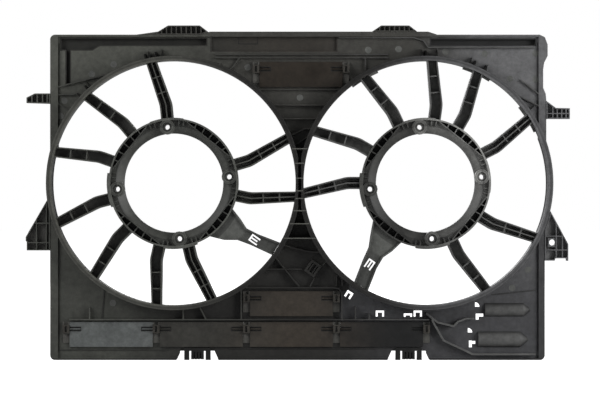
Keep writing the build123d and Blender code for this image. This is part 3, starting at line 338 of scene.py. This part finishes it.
def moulded_polypropylene(name, upper, lower, raised, deep, roughness=0.5, gloss=0.4, rounded=True,
                          floor=None, painted_light_and_shade=None):
    """Glass-filled black polypropylene from a spark-eroded mould.

    It reads as a soft grey sheen on faces turned to the light, with painted shade that makes it nearly black
    in deep pockets, painted highlight and shade lines along rims and edges, and faint cloudy flow marks.
    upper and lower give the plastic's colours from the left of the part to its right; they carry painted
    light and shade.
    raised and deep are the depths where the painted shade towards the floors starts and where the floors take
    it in full.
    floor gives the colours of those floors, by default the painted shade colour, and the last argument
    multiplies in painted highlight and shade lines.
    """
    finish = finish_of()
    material = bpy.data.materials.new(name)
    material.use_nodes = True
    tree = material.node_tree
    tree.nodes.clear()
    place = add(tree, "ShaderNodeTexCoord").outputs["Object"]
    axes = add(tree, "ShaderNodeSeparateXYZ", {"Vector": place})
    low, high = CAD_BOX
    across = add(tree, "ShaderNodeMapRange", {
        "Value": axes.outputs["X"], "From Min": low[0], "From Max": high[0]}).outputs["Result"]
    height = add(tree, "ShaderNodeMapRange", {
        "Value": axes.outputs["Z"], "From Min": LOWER_TONES * high[2], "From Max": UPPER_TONES * high[2]},
        interpolation_type="SMOOTHSTEP")
    face = add(tree, "ShaderNodeMix", {
        "Factor": height.outputs["Result"], "A": colour_across(tree, across, lower),
        "B": colour_across(tree, across, upper)}, data_type="RGBA")
    # Painted shade: deeper surfaces blend from the face colours to the floor colours
    depth = add(tree, "ShaderNodeMapRange", {
        "Value": axes.outputs["Y"], "From Min": raised, "From Max": deep}, interpolation_type="SMOOTHSTEP")
    floors = colour_across(tree, across, floor or one_colour(finish.deep))
    sunk = add(tree, "ShaderNodeMix", {
        "Factor": depth.outputs["Result"], "A": face.outputs["Result"], "B": floors},
        data_type="RGBA").outputs["Result"]
    # Painted highlight and shade lines multiply the colour here
    if painted_light_and_shade:
        sunk = product_of(tree, sunk, painted_light_and_shade(tree, place))

    clouds = add(tree, "ShaderNodeTexNoise", {
        "Vector": place, "Scale": 1 / finish.mottle, "Detail": 6.0, "Roughness": 0.66})
    shade = add(tree, "ShaderNodeMapRange", {
        "Value": clouds.outputs["Fac"], "From Min": 0.3, "From Max": 0.7, "To Min": 0.8, "To Max": 1.18})
    specks = add(tree, "ShaderNodeTexNoise", {
        "Vector": place, "Scale": 4 / finish.mottle, "Detail": 3.0, "Roughness": 0.75})
    speckle = add(tree, "ShaderNodeMapRange", {
        "Value": specks.outputs["Fac"], "From Min": 0.3, "From Max": 0.7, "To Min": 0.84, "To Max": 1.16})
    both = maths(tree, "MULTIPLY", shade.outputs["Result"], speckle.outputs["Result"])
    mottled = scaled_by(tree, sunk, both)

    grain = add(tree, "ShaderNodeTexNoise", {
        "Vector": place, "Scale": 1 / finish.grain, "Detail": 2.0, "Roughness": 0.7})
    sheen_spots = add(tree, "ShaderNodeMapRange", {
        "Value": clouds.outputs["Fac"], "From Min": 0.25, "From Max": 0.75,
        "To Min": roughness - 0.06, "To Max": roughness + 0.08})
    grained = add(tree, "ShaderNodeBump", {
        "Height": grain.outputs["Fac"], "Strength": 0.12, "Distance": 0.2 * MM})
    if rounded:
        broken = add(tree, "ShaderNodeBevel", {"Radius": finish.edge_round}, samples=4)
        tree.links.new(broken.outputs["Normal"], grained.inputs["Normal"])
    shader = add(tree, "ShaderNodeBsdfPrincipled", {
        "Base Color": mottled, "Roughness": sheen_spots.outputs["Result"],
        "Normal": grained.outputs["Normal"], "IOR": 1.49, "Specular IOR Level": gloss})
    add(tree, "ShaderNodeOutputMaterial", {"Surface": shader.outputs["BSDF"]})
    return material


def ending(*ends):
    """List the CAD nodes whose names end in one of these ways."""
    return [name for name in frame["nodes"] if name.endswith(ends)]


def coat(names, material):
    """Give CAD nodes their finish."""
    for name in names:
        materials = frame["nodes"][name].data.materials
        materials.clear()
        materials.append(material)


def one_colour(colour):
    """Give the stops of a ramp that stays one colour."""
    return ((0.5, colour),)


def body_colours():
    """Colours of the plate, first along its top and then along its bottom, with painted light and shade:
    paler at the top left and top right, painted shade low down between the fans.
    """
    finish = finish_of()
    upper = ((0.2, finish.upper_left), (0.45, finish.upper_middle), (0.7, finish.upper_middle),
             (0.86, finish.upper_right))
    lower = ((0.14, finish.lower_left), (0.34, finish.lower_middle_shade), (0.55, finish.lower_middle_shade),
             (0.8, finish.lower_right))
    return upper, lower


def new_piece(name, shape, material, body="root"):
    """Turn a bmesh into a piece of the moulding that rides on its body."""
    mesh = bpy.data.meshes.new(name)
    shape.to_mesh(mesh)
    shape.free()
    mesh.materials.append(material)
    piece = bpy.data.objects.new(name, mesh)
    bpy.context.scene.collection.objects.link(piece)
    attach(piece, body)
    return piece


class SHROUD_OT_plates(bpy.types.Operator):
    """Finish the plate, the recesses and the skirt round them, with painted light and shade across the plate,
    painted shade in the recesses and on the right skirt's lower half, and a painted shade line along the
    bottom edge
    """

    bl_idname = "shroud.plates"
    bl_label = "Plates and skirt"

    def execute(self, context):
        finish = finish_of()
        upper, lower = body_colours()
        # The plate's colours paint light and shade across and up it, with a painted shade line along its
        # bottom edge
        plate = moulded_polypropylene("plate_polypropylene", upper, lower, 0.0, PLATE_DEEP, rounded=False,
                                      painted_light_and_shade=bottom_edge_shade_and_highlight)
        coat(ending("_panel", "_flap_frame", "bottom_rail"), plate)
        # Painted shade low on the lower right panel and painted light higher up
        corner = moulded_polypropylene(
            "corner_polypropylene", one_colour(finish.corner_painted_light), one_colour(finish.corner_painted_shade),
            0.0, PLATE_DEEP, rounded=False, painted_light_and_shade=bottom_edge_shade_and_highlight)
        coat(["lower_right_panel"], corner)
        # Painted shade darkens the recesses towards their floors
        sunken = ((0.26, finish.recess_left), (0.5, finish.recess_middle), (0.76, finish.recess_right))
        tray = moulded_polypropylene("recess_polypropylene", sunken, sunken, 0, 20 * MM, 0.55)
        coat(["recess_trays"], tray)
        # Painted shade on the right skirt's lower half
        shaded = (*lower[:-1], (0.8, finish.skirt_right))
        skirt = moulded_polypropylene("skirt_polypropylene", upper, shaded, 2 * MM, 90 * MM, rounded=False,
                                      painted_light_and_shade=bottom_edge_shade_and_highlight)
        coat(ending("_skirt"), skirt)
        return {"FINISHED"}


class SHROUD_OT_barrels(bpy.types.Operator):
    """Finish the fan barrels, with painted light and shade across them and painted highlight and shade lines
    round their lips, and the gussets and snap clips, nearly black; on the gussets this is painted shade
    """

    bl_idname = "shroud.barrels"
    bl_label = "Fan barrels"

    def execute(self, context):
        finish = finish_of()
        # Painted light and shade round the barrels: paler at the right and painted shade where they nearly
        # touch
        rims = ((0.24, finish.barrel_left), (0.42, finish.barrel_middle_shade), (0.6, finish.barrel_middle_shade),
                (0.84, finish.barrel_right))
        barrel = moulded_polypropylene("barrel_polypropylene", rims, rims, -29 * MM, 4 * MM, 0.46,
                                       painted_light_and_shade=barrel_lip_highlight_and_shade)
        coat(ending("_fan_barrel"), barrel)
        # Painted shade makes the gussets nearly black; the snap clips share it
        dark = one_colour(finish.gusset)
        gusset = moulded_polypropylene("gusset_shade_polypropylene", dark, dark, GUSSET_SHADE_START, GUSSET_DEEP)
        coat(ending("_gussets", "_bottom_clip"), gusset)
        return {"FINISHED"}


class SHROUD_OT_rings(bpy.types.Operator):
    """Finish the motor rings, with painted shade on their deeper surfaces and painted highlight and shade
    lines round the rims and the bolts
    """

    bl_idname = "shroud.rings"
    bl_label = "Motor rings"

    def execute(self, context):
        finish = finish_of()
        dish = ((0.45, finish.ring_left), (0.66, finish.ring_near), (0.8, finish.ring_far))
        underside = (dish[0], (0.66, finish.ring_low))
        ring = moulded_polypropylene("ring_polypropylene", dish, underside, -22 * MM, -12 * MM, 0.44,
                                     painted_light_and_shade=ring_highlight_and_shade)
        coat(ending("_motor_ring"), ring)
        return {"FINISHED"}


class SHROUD_OT_arms(bpy.types.Operator):
    """Finish the channel arms and the cable ducts; the arms' rims carry painted highlight, their floors are
    painted lighter to stand for light reaching into them, and the ducts carry painted shade
    """

    bl_idname = "shroud.arms"
    bl_label = "Arms and ducts"

    def execute(self, context):
        finish = finish_of()
        # Painted highlight on the arms' rims; their floors are painted lighter to stand for light reaching
        # into them
        edges = ((0.4, finish.edge), (0.6, finish.edge_highlight_right))
        floors = ((0.4, finish.arm_floor), (0.7, finish.arm_floor_right))
        arm = moulded_polypropylene("arm_polypropylene", edges, edges, -28.5 * MM, -20 * MM, 0.5, 0.35,
                                    floor=floors)
        coat([name for name in frame["nodes"] if "_arm_" in name], arm)
        # Painted shade in a band on the ducts and on their deeper surfaces
        face = one_colour(finish.duct_face)
        duct = moulded_polypropylene("duct_polypropylene", face, face, -24 * MM, -10 * MM, 0.48,
                                     painted_light_and_shade=duct_bands)
        coat(ending("_cable_duct"), duct)
        return {"FINISHED"}


class SHROUD_OT_ribs(bpy.types.Operator):
    """Finish the ribs, the hinge posts, the cable tray and the connector clip, with painted highlight on the
    rims, painted shade low between the fans and on deeper surfaces, and posts darkened partly by painted
    shade
    """

    bl_idname = "shroud.ribs"
    bl_label = "Ribs and posts"

    def execute(self, context):
        finish = finish_of()
        # Painted highlight on the rib rims, with painted shade low between the fans
        upper = ((0.26, finish.edge), (0.5, finish.upper_middle), (0.8, finish.edge_highlight_right))
        lower = ((0.26, finish.edge), (0.5, finish.lower_middle_shade), (0.8, finish.edge_highlight_right))
        rib = moulded_polypropylene("rib_polypropylene", upper, lower, -7 * MM, 3 * MM, 0.48)
        coat(ending("_ribs", "connector_clip", "cable_tray"), rib)
        # The posts' colour is partly painted shade
        post = one_colour(finish.post)
        post_plastic = moulded_polypropylene("post_polypropylene", post, post, -7 * MM, -4 * MM, 0.55,
                                             floor=one_colour(finish.cell_floor))
        coat(ending("_posts"), post_plastic)
        return {"FINISHED"}


class SHROUD_OT_mounts(bpy.types.Operator):
    """Finish the ears, brackets and top tabs, with painted light and shade across their rims and cell floors
    painted lighter to stand for light reaching into them
    """

    bl_idname = "shroud.mounts"
    bl_label = "Ears, brackets and tabs"

    def execute(self, context):
        finish = finish_of()
        # Painted light and shade across the mounts' rims; the cell floors are painted lighter to stand for
        # light reaching them
        rims = ((0.1, finish.edge), (0.3, finish.upper_middle), (0.7, finish.upper_middle),
                (0.9, finish.upper_right))
        cells = ((0.5, finish.cell_floor), (0.9, finish.cell_floor_right))
        mount = moulded_polypropylene("mount_polypropylene", rims, rims, -4.5 * MM, 0, floor=cells)
        coat(ending("_ear", "_bracket", "_tab"), mount)
        return {"FINISHED"}


class SHROUD_OT_flaps(bpy.types.Operator):
    """Finish the ram air flaps, with painted shade on surfaces behind their faces; the first flap's paler
    colour is partly painted highlight
    """

    bl_idname = "shroud.flaps"
    bl_label = "Ram air flaps"

    def execute(self, context):
        finish = finish_of()
        row = ((0.3, finish.flap_left), (0.5, finish.flap_middle), (0.68, finish.flap_right))
        brown = moulded_polypropylene("flap_polypropylene", one_colour(finish.flap_top), row,
                                      FLAP_SHADE_START, FLAP_DEEP, 0.4)
        coat(FLAPS, brown)
        # The first flap's paler colour is partly painted highlight
        grey = one_colour(finish.first_flap)
        first = moulded_polypropylene("first_flap_polypropylene", grey, grey, FLAP_SHADE_START, FLAP_DEEP, 0.34)
        coat(["lower_flap_1"], first)
        return {"FINISHED"}


def add_box(shape, low, high):
    """Add a box between two corners, with its faces outwards."""
    centre = [(a + b) / 2 for a, b in zip(low, high)]
    scale = Matrix.Diagonal((*[b - a for a, b in zip(low, high)], 1.0))
    bmesh.ops.create_cube(shape, size=1.0, matrix=Matrix.Translation(centre) @ scale)


# The stop over a flap lies behind it. The stops beside it lie STOP_CLEAR off its ends.
STOP_FRONT = 1.8 * MM
STOP_BACK = 2.45 * MM
STOP_REACH = 0.4 * MM
STOP_CLEAR = 0.05 * MM
STOP_RISE = 0.3 * MM

# Heights under a flap's top where the stops change, and the fronts of the stretches beside it
STOP_SHOULDER = 0.6 * MM
STOP_WAIST = 7.7 * MM
STOP_FOOT = 10.3 * MM
STOP_SIDE_FRONT = -3.9 * MM
STOP_FOOT_FRONT = -0.8 * MM


class SHROUD_OT_window_stops(bpy.types.Operator):
    """Add the narrow stop strips that close the slits round each flap's upper half; their near-black colour
    is painted shade, and they stand partly for a stop lip and partly for the shade in the slits
    """

    bl_idname = "shroud.window_stops"
    bl_label = "Window stops"

    def execute(self, context):
        stops = bmesh.new()
        for name in FLAPS:
            left, right, top = flap_box(name)
            shoulder, waist, foot = top - STOP_SHOULDER, top - STOP_WAIST, top - STOP_FOOT
            add_box(stops, (left - STOP_REACH, STOP_FRONT, shoulder),
                    (right + STOP_REACH, STOP_BACK, top + STOP_RISE))
            at_left = (left - STOP_REACH, left - STOP_CLEAR)
            at_right = (right + STOP_CLEAR, right + STOP_REACH)
            for near, far in (at_left, at_right):
                add_box(stops, (near, STOP_FOOT_FRONT, foot), (far, STOP_BACK, waist))
                add_box(stops, (near, STOP_SIDE_FRONT, waist), (far, STOP_BACK, shoulder))
        # The stops take the near-black colour of painted shade
        dark = one_colour(finish_of().deep)
        plastic = moulded_polypropylene("stop_shade_polypropylene", dark, dark, 0, LINE_DEEP, rounded=False)
        new_piece("window_stops", stops, plastic)
        return {"FINISHED"}


# Heights of the crests in millimetres
NECK_RIB_LEVELS = (278.0, 259.0, 239.5, 223.0, 213.0, 197.0, 180.0, 161.0)
CREST_HALF = 0.7 * MM
CREST_DEPTH = 0.6 * MM


class SHROUD_OT_neck_ribs(bpy.types.Operator):
    """Add the crests of the ribs that cross the neck between the two barrels, as pale strips of painted
    highlight
    """

    bl_idname = "shroud.neck_ribs"
    bl_label = "Neck ribs"

    def execute(self, context):
        crests = bmesh.new()
        for level in NECK_RIB_LEVELS:
            height = level * MM
            reach = FAN_OUT - sqrt(FAN_BORE ** 2 - (height - FAN_HEIGHT) ** 2)
            low = (FAN_MIDDLE - reach, LIP_FRONT - TRIM_RISE, height - CREST_HALF)
            high = (FAN_MIDDLE + reach, LIP_FRONT + CREST_DEPTH, height + CREST_HALF)
            add_box(crests, low, high)
        # The crests' pale colour is painted highlight
        rib = one_colour(finish_of().neck_rib_highlight)
        plastic = moulded_polypropylene("neck_rib_polypropylene", rib, rib, 0, LINE_DEEP)
        new_piece("neck_ribs", crests, plastic)
        return {"FINISHED"}


# Angles round the left and then the right fan's axis, in degrees
GUSSET_FINS = ((-1, (101.1, 95.0, 131.1)), (1, (91.6, 84.9, 69.6, 62.1, 35.2)))
FIN_BASE = 5.0 * MM
FIN_TIP = 177 * MM
FIN_CLEAR = 0.4 * MM
FIN_TIP_SHARE = 0.2


class SHROUD_OT_gusset_fins(bpy.types.Operator):
    """Add the dark fins that taper outwards across the barrels' lips at the arms' feet; they stand partly for
    real gusset fins and partly for their shadows, and their near-black colour is painted shadow
    """

    bl_idname = "shroud.gusset_fins"
    bl_label = "Gusset fins"

    def execute(self, context):
        fins = bmesh.new()
        for side, angles in GUSSET_FINS:
            for angle in angles:
                out = Vector((cos(radians(angle)), 0, sin(radians(angle))))
                beside = Vector((-out.z, 0, out.x)) * FIN_BASE / 2
                axis = Vector((FAN_MIDDLE + side * FAN_OUT, 0, FAN_HEIGHT))
                foot = axis + out * (FAN_BORE + FIN_CLEAR)
                rise = Vector((0, LIP_FRONT - TRIM_RISE, 0))
                tip = axis + out * FIN_TIP
                corners = (foot - beside, foot + beside, foot - beside + rise, foot + beside + rise, tip,
                           tip + rise * FIN_TIP_SHARE)
                a, b, c, d, e, f = [fins.verts.new(corner) for corner in corners]
                for loop in ((a, b, d, c), (a, c, f, e), (b, e, f, d), (c, d, f), (a, e, b)):
                    fins.faces.new(loop)
        bmesh.ops.recalc_face_normals(fins, faces=fins.faces)
        # The fins' near-black colour is partly painted shadow
        dark = one_colour(finish_of().gusset)
        plastic = moulded_polypropylene("fin_shadow_polypropylene", dark, dark, GUSSET_SHADE_START, GUSSET_DEEP)
        new_piece("gusset_fins", fins, plastic)
        return {"FINISHED"}


def flap_box(name):
    """Give a flap's left, right and top edges without its hinge pins."""
    flap = frame["nodes"][name]
    corners = [flap.matrix_world @ Vector(corner) for corner in flap.bound_box]
    left = min(corner.x for corner in corners) + FLAP_PIN
    right = max(corner.x for corner in corners) - FLAP_PIN
    return left, right, max(corner.z for corner in corners)


def crease_shadow_plastic(name):
    """Give the nearly black painted shadow of a sharp crease."""
    line = one_colour(finish_of().crease_shadow)
    return moulded_polypropylene(name, line, line, 0, LINE_DEEP, 0.6, rounded=False)


# Each mark is a U on its side: two level lines from MARK_START to MARK_STOP and a line at MARK_END
MARK_FRONT = -4.12 * MM
MARK_BACK = -3.6 * MM
MARK_START = 0.4 * MM
MARK_STOP = 15.3 * MM
MARK_END = 14.9 * MM
MARK_HALF = 0.4 * MM
MARK_LINE = 0.85 * MM
MARK_LOW = 3.1 * MM
MARK_HIGH = 2.25 * MM


class SHROUD_OT_hinge_marks(bpy.types.Operator):
    """Add the sharp creases round the recess of each hinge pin, as thin near-black strips of painted shadow
    """

    bl_idname = "shroud.hinge_marks"
    bl_label = "Hinge marks"

    def execute(self, context):
        crease = crease_shadow_plastic("crease_shadow_polypropylene")
        for name in FLAPS:
            left, right, top = flap_box(name)
            hinge = top - HINGE_DROP
            marks = bmesh.new()
            for edge, inwards in ((left, 1), (right, -1)):
                near, far = sorted((edge + inwards * MARK_START, edge + inwards * MARK_STOP))
                for low in (hinge - MARK_LOW, hinge + MARK_HIGH):
                    add_box(marks, (near, MARK_FRONT, low), (far, MARK_BACK, low + MARK_LINE))
                end = edge + inwards * MARK_END
                add_box(marks, (end - MARK_HALF, MARK_FRONT, hinge - MARK_HIGH),
                        (end + MARK_HALF, MARK_BACK, hinge + MARK_HIGH))
            new_piece(f"{name}_hinge_marks", marks, crease, name)
        return {"FINISHED"}


NOTCH_LEFT = -79.0 * MM
NOTCH_RIGHT = -54.0 * MM
NOTCH_LOW = 417.2 * MM
NOTCH_HIGH = 428.0 * MM
NOTCH_HALF = 0.5 * MM
NOTCH_FRONT = 2.7 * MM
NOTCH_BACK = 3.2 * MM


class SHROUD_OT_crown_notch(bpy.types.Operator):
    """Add the U-shaped crease near the left end of the crown's recess, as thin near-black strips of painted
    shadow
    """

    bl_idname = "shroud.crown_notch"
    bl_label = "Crown notch"

    def execute(self, context):
        notch = bmesh.new()
        base = NOTCH_LOW + NOTCH_HALF
        for x in (NOTCH_LEFT, NOTCH_RIGHT):
            add_box(notch, (x - NOTCH_HALF, NOTCH_FRONT, base), (x + NOTCH_HALF, NOTCH_BACK, NOTCH_HIGH))
        add_box(notch, (NOTCH_LEFT - NOTCH_HALF, NOTCH_FRONT, NOTCH_LOW - NOTCH_HALF),
                (NOTCH_RIGHT + NOTCH_HALF, NOTCH_BACK, base))
        new_piece("crown_notch", notch, crease_shadow_plastic("notch_shadow_polypropylene"))
        return {"FINISHED"}


# Places across and up, in millimetres
EJECTOR_MARKS = (
    (-273, 377), (-244, 390), (-309, 342), (-314, 322), (-67, 386), (92, 409), (132, 410), (194, 407),
    (246, 404), (313, 405), (313, 370), (279, 371), (-245, 75), (282, 95), (303, 119), (2, 346),
)
EJECTOR_CENTRE = -0.1 * MM
EJECTOR_THICKNESS = 0.3 * MM
EJECTOR_TAPER = 0.94
EJECTOR_RIM = 0.8 * MM
EJECTOR_SINK = 0.15 * MM


class SHROUD_OT_ejector_marks(bpy.types.Operator):
    """Add the round marks that the mould's ejector pins leave on the plate"""

    bl_idname = "shroud.ejector_marks"
    bl_label = "Ejector marks"

    def execute(self, context):
        radius = finish_of().ejector_radius
        marks = bmesh.new()
        for x, z in EJECTOR_MARKS:
            moved = Matrix.Translation((x * MM, EJECTOR_CENTRE, z * MM))
            bmesh.ops.create_cone(
                marks, cap_ends=True, segments=28, radius1=radius, radius2=EJECTOR_TAPER * radius,
                depth=EJECTOR_THICKNESS, matrix=moved @ Matrix.Rotation(radians(90), 4, "X"))
        tops = [face for face in marks.faces if face.normal.y < -0.9]
        bmesh.ops.inset_individual(marks, faces=tops, thickness=EJECTOR_RIM, depth=-EJECTOR_SINK)
        colour = one_colour(finish_of().ejector_mark)
        pin_mark = moulded_polypropylene("pin_marked_polypropylene", colour, colour, 0.0, LINE_DEEP, 0.42,
                                         rounded=False)
        new_piece("ejector_marks", marks, pin_mark)
        return {"FINISHED"}


# The middle of the view and what the lamps point at
VIEW_CENTRE = (2 * MM, 211 * MM)
LAMP_TARGET = (0, 0, 215 * MM)
FLOOR_HALF = 12.0


def area_lamp(name, power, size, place, target):
    """Hang a soft rectangular lamp that points at a target."""
    lamp = bpy.data.lights.new(name, "AREA")
    lamp.energy = power
    lamp.shape = "RECTANGLE"
    lamp.size, lamp.size_y = size
    hung = bpy.data.objects.new(name, lamp)
    hung.location = place
    hung.rotation_euler = (Vector(target) - Vector(place)).to_track_quat("-Z", "Y").to_euler()
    bpy.context.scene.collection.objects.link(hung)


def stage_world(strength):
    """A soft dome that shows as white to the camera and to transmission rays."""
    world = bpy.data.worlds.new("studio_dome")
    bpy.context.scene.world = world
    world.use_nodes = True
    tree = world.node_tree
    tree.nodes.clear()
    path = add(tree, "ShaderNodeLightPath")
    seen = maths(tree, "MAXIMUM", path.outputs["Is Camera Ray"], path.outputs["Is Transmission Ray"])
    dome = add(tree, "ShaderNodeBackground", {"Color": rgba(linear("#f4f6fa")), "Strength": strength})
    white = add(tree, "ShaderNodeBackground", {"Color": (1, 1, 1, 1), "Strength": 1.0})
    mixed = add(tree, "ShaderNodeMixShader", {0: seen, 1: dome.outputs[0], 2: white.outputs[0]})
    add(tree, "ShaderNodeOutputWorld", {"Surface": mixed.outputs[0]})


def stage_floor():
    """A pale matt floor that the camera sees as white outside the shadows."""
    shape = bmesh.new()
    bmesh.ops.create_grid(shape, x_segments=1, y_segments=1, size=FLOOR_HALF)
    mesh = bpy.data.meshes.new("studio_floor")
    shape.to_mesh(mesh)
    shape.free()
    floor = bpy.data.objects.new("studio_floor", mesh)
    bpy.context.scene.collection.objects.link(floor)
    material = bpy.data.materials.new("painted_floor")
    material.use_nodes = True
    tree = material.node_tree
    tree.nodes.clear()
    path = add(tree, "ShaderNodeLightPath")
    paint = add(tree, "ShaderNodeBsdfDiffuse", {"Color": rgba(linear("#e6e6e6"))})
    glow = add(tree, "ShaderNodeEmission", {"Color": (1, 1, 1, 1), "Strength": path.outputs["Is Camera Ray"]})
    both = add(tree, "ShaderNodeAddShader", {0: paint.outputs[0], 1: glow.outputs[0]})
    add(tree, "ShaderNodeOutputMaterial", {"Surface": both.outputs[0]})
    mesh.materials.append(material)


def stage_camera(distance, width):
    """A long lens square to the plate, centred as in the studio view."""
    camera = bpy.data.cameras.new("studio_camera")
    camera.sensor_width = 36.0
    camera.lens = camera.sensor_width * distance / width
    camera.clip_end = 50.0
    holder = bpy.data.objects.new("studio_camera", camera)
    holder.location = (VIEW_CENTRE[0], -distance, VIEW_CENTRE[1])
    holder.rotation_euler = (radians(90), 0, 0)
    bpy.context.scene.collection.objects.link(holder)
    bpy.context.scene.camera = holder


class SHROUD_OT_stage(bpy.types.Operator):
    """Set the pale floor, the soft lamps, the white dome and the camera"""

    bl_idname = "shroud.stage"
    bl_label = "Stage"

    def execute(self, context):
        stage = context.scene.shroud_stage
        context.scene.view_settings.view_transform = "Standard"
        stage_camera(stage.camera_distance, stage.frame_width)
        stage_world(stage.dome_strength)
        stage_floor()
        area_lamp("key_lamp", stage.key_power, (1.2, 1.2), (-1.8, -1.5, 1.3), LAMP_TARGET)
        area_lamp("fill_lamp", stage.fill_power, (1.2, 1.2), (1.8, -1.4, 0.6), LAMP_TARGET)
        area_lamp("back_lamp", stage.back_power, (1.6, 1.2), (-0.6, 2.4, 1.2), LAMP_TARGET)
        return {"FINISHED"}


class SHROUD_PT_panel(bpy.types.Panel):
    """Lists the shroud's finishes and its stage"""

    bl_label = "Radiator fan shroud"
    bl_idname = "SHROUD_PT_panel"
    bl_space_type = "VIEW_3D"
    bl_region_type = "UI"
    bl_category = "Shroud"

    def draw(self, context):
        for group in (context.scene.shroud_finish, context.scene.shroud_stage):
            for name in group.__annotations__:
                self.layout.prop(group, name)
        for operator in OPERATORS:
            self.layout.operator(operator.bl_idname)


OPERATORS = (
    SHROUD_OT_plates,
    SHROUD_OT_barrels,
    SHROUD_OT_rings,
    SHROUD_OT_arms,
    SHROUD_OT_ribs,
    SHROUD_OT_mounts,
    SHROUD_OT_flaps,
    SHROUD_OT_window_stops,
    SHROUD_OT_neck_ribs,
    SHROUD_OT_gusset_fins,
    SHROUD_OT_hinge_marks,
    SHROUD_OT_crown_notch,
    SHROUD_OT_ejector_marks,
    SHROUD_OT_stage,
)
CLASSES = (ShroudFinish, ShroudStage, *OPERATORS, SHROUD_PT_panel)


def register():
    for item in CLASSES:
        bpy.utils.register_class(item)
    bpy.types.Scene.shroud_finish = bpy.props.PointerProperty(type=ShroudFinish)
    bpy.types.Scene.shroud_stage = bpy.props.PointerProperty(type=ShroudStage)


def unregister():
    del bpy.types.Scene.shroud_stage
    del bpy.types.Scene.shroud_finish
    for item in reversed(CLASSES):
        bpy.utils.unregister_class(item)


def main():
    register()
    bpy.ops.shroud.plates()
    bpy.ops.shroud.barrels()
    bpy.ops.shroud.rings()
    bpy.ops.shroud.arms()
    bpy.ops.shroud.ribs()
    bpy.ops.shroud.mounts()
    bpy.ops.shroud.flaps()
    bpy.ops.shroud.window_stops()
    bpy.ops.shroud.neck_ribs()
    bpy.ops.shroud.gusset_fins()
    bpy.ops.shroud.hinge_marks()
    bpy.ops.shroud.crown_notch()
    bpy.ops.shroud.ejector_marks()
    bpy.ops.shroud.stage()


if __name__ == "__main__":
    main()
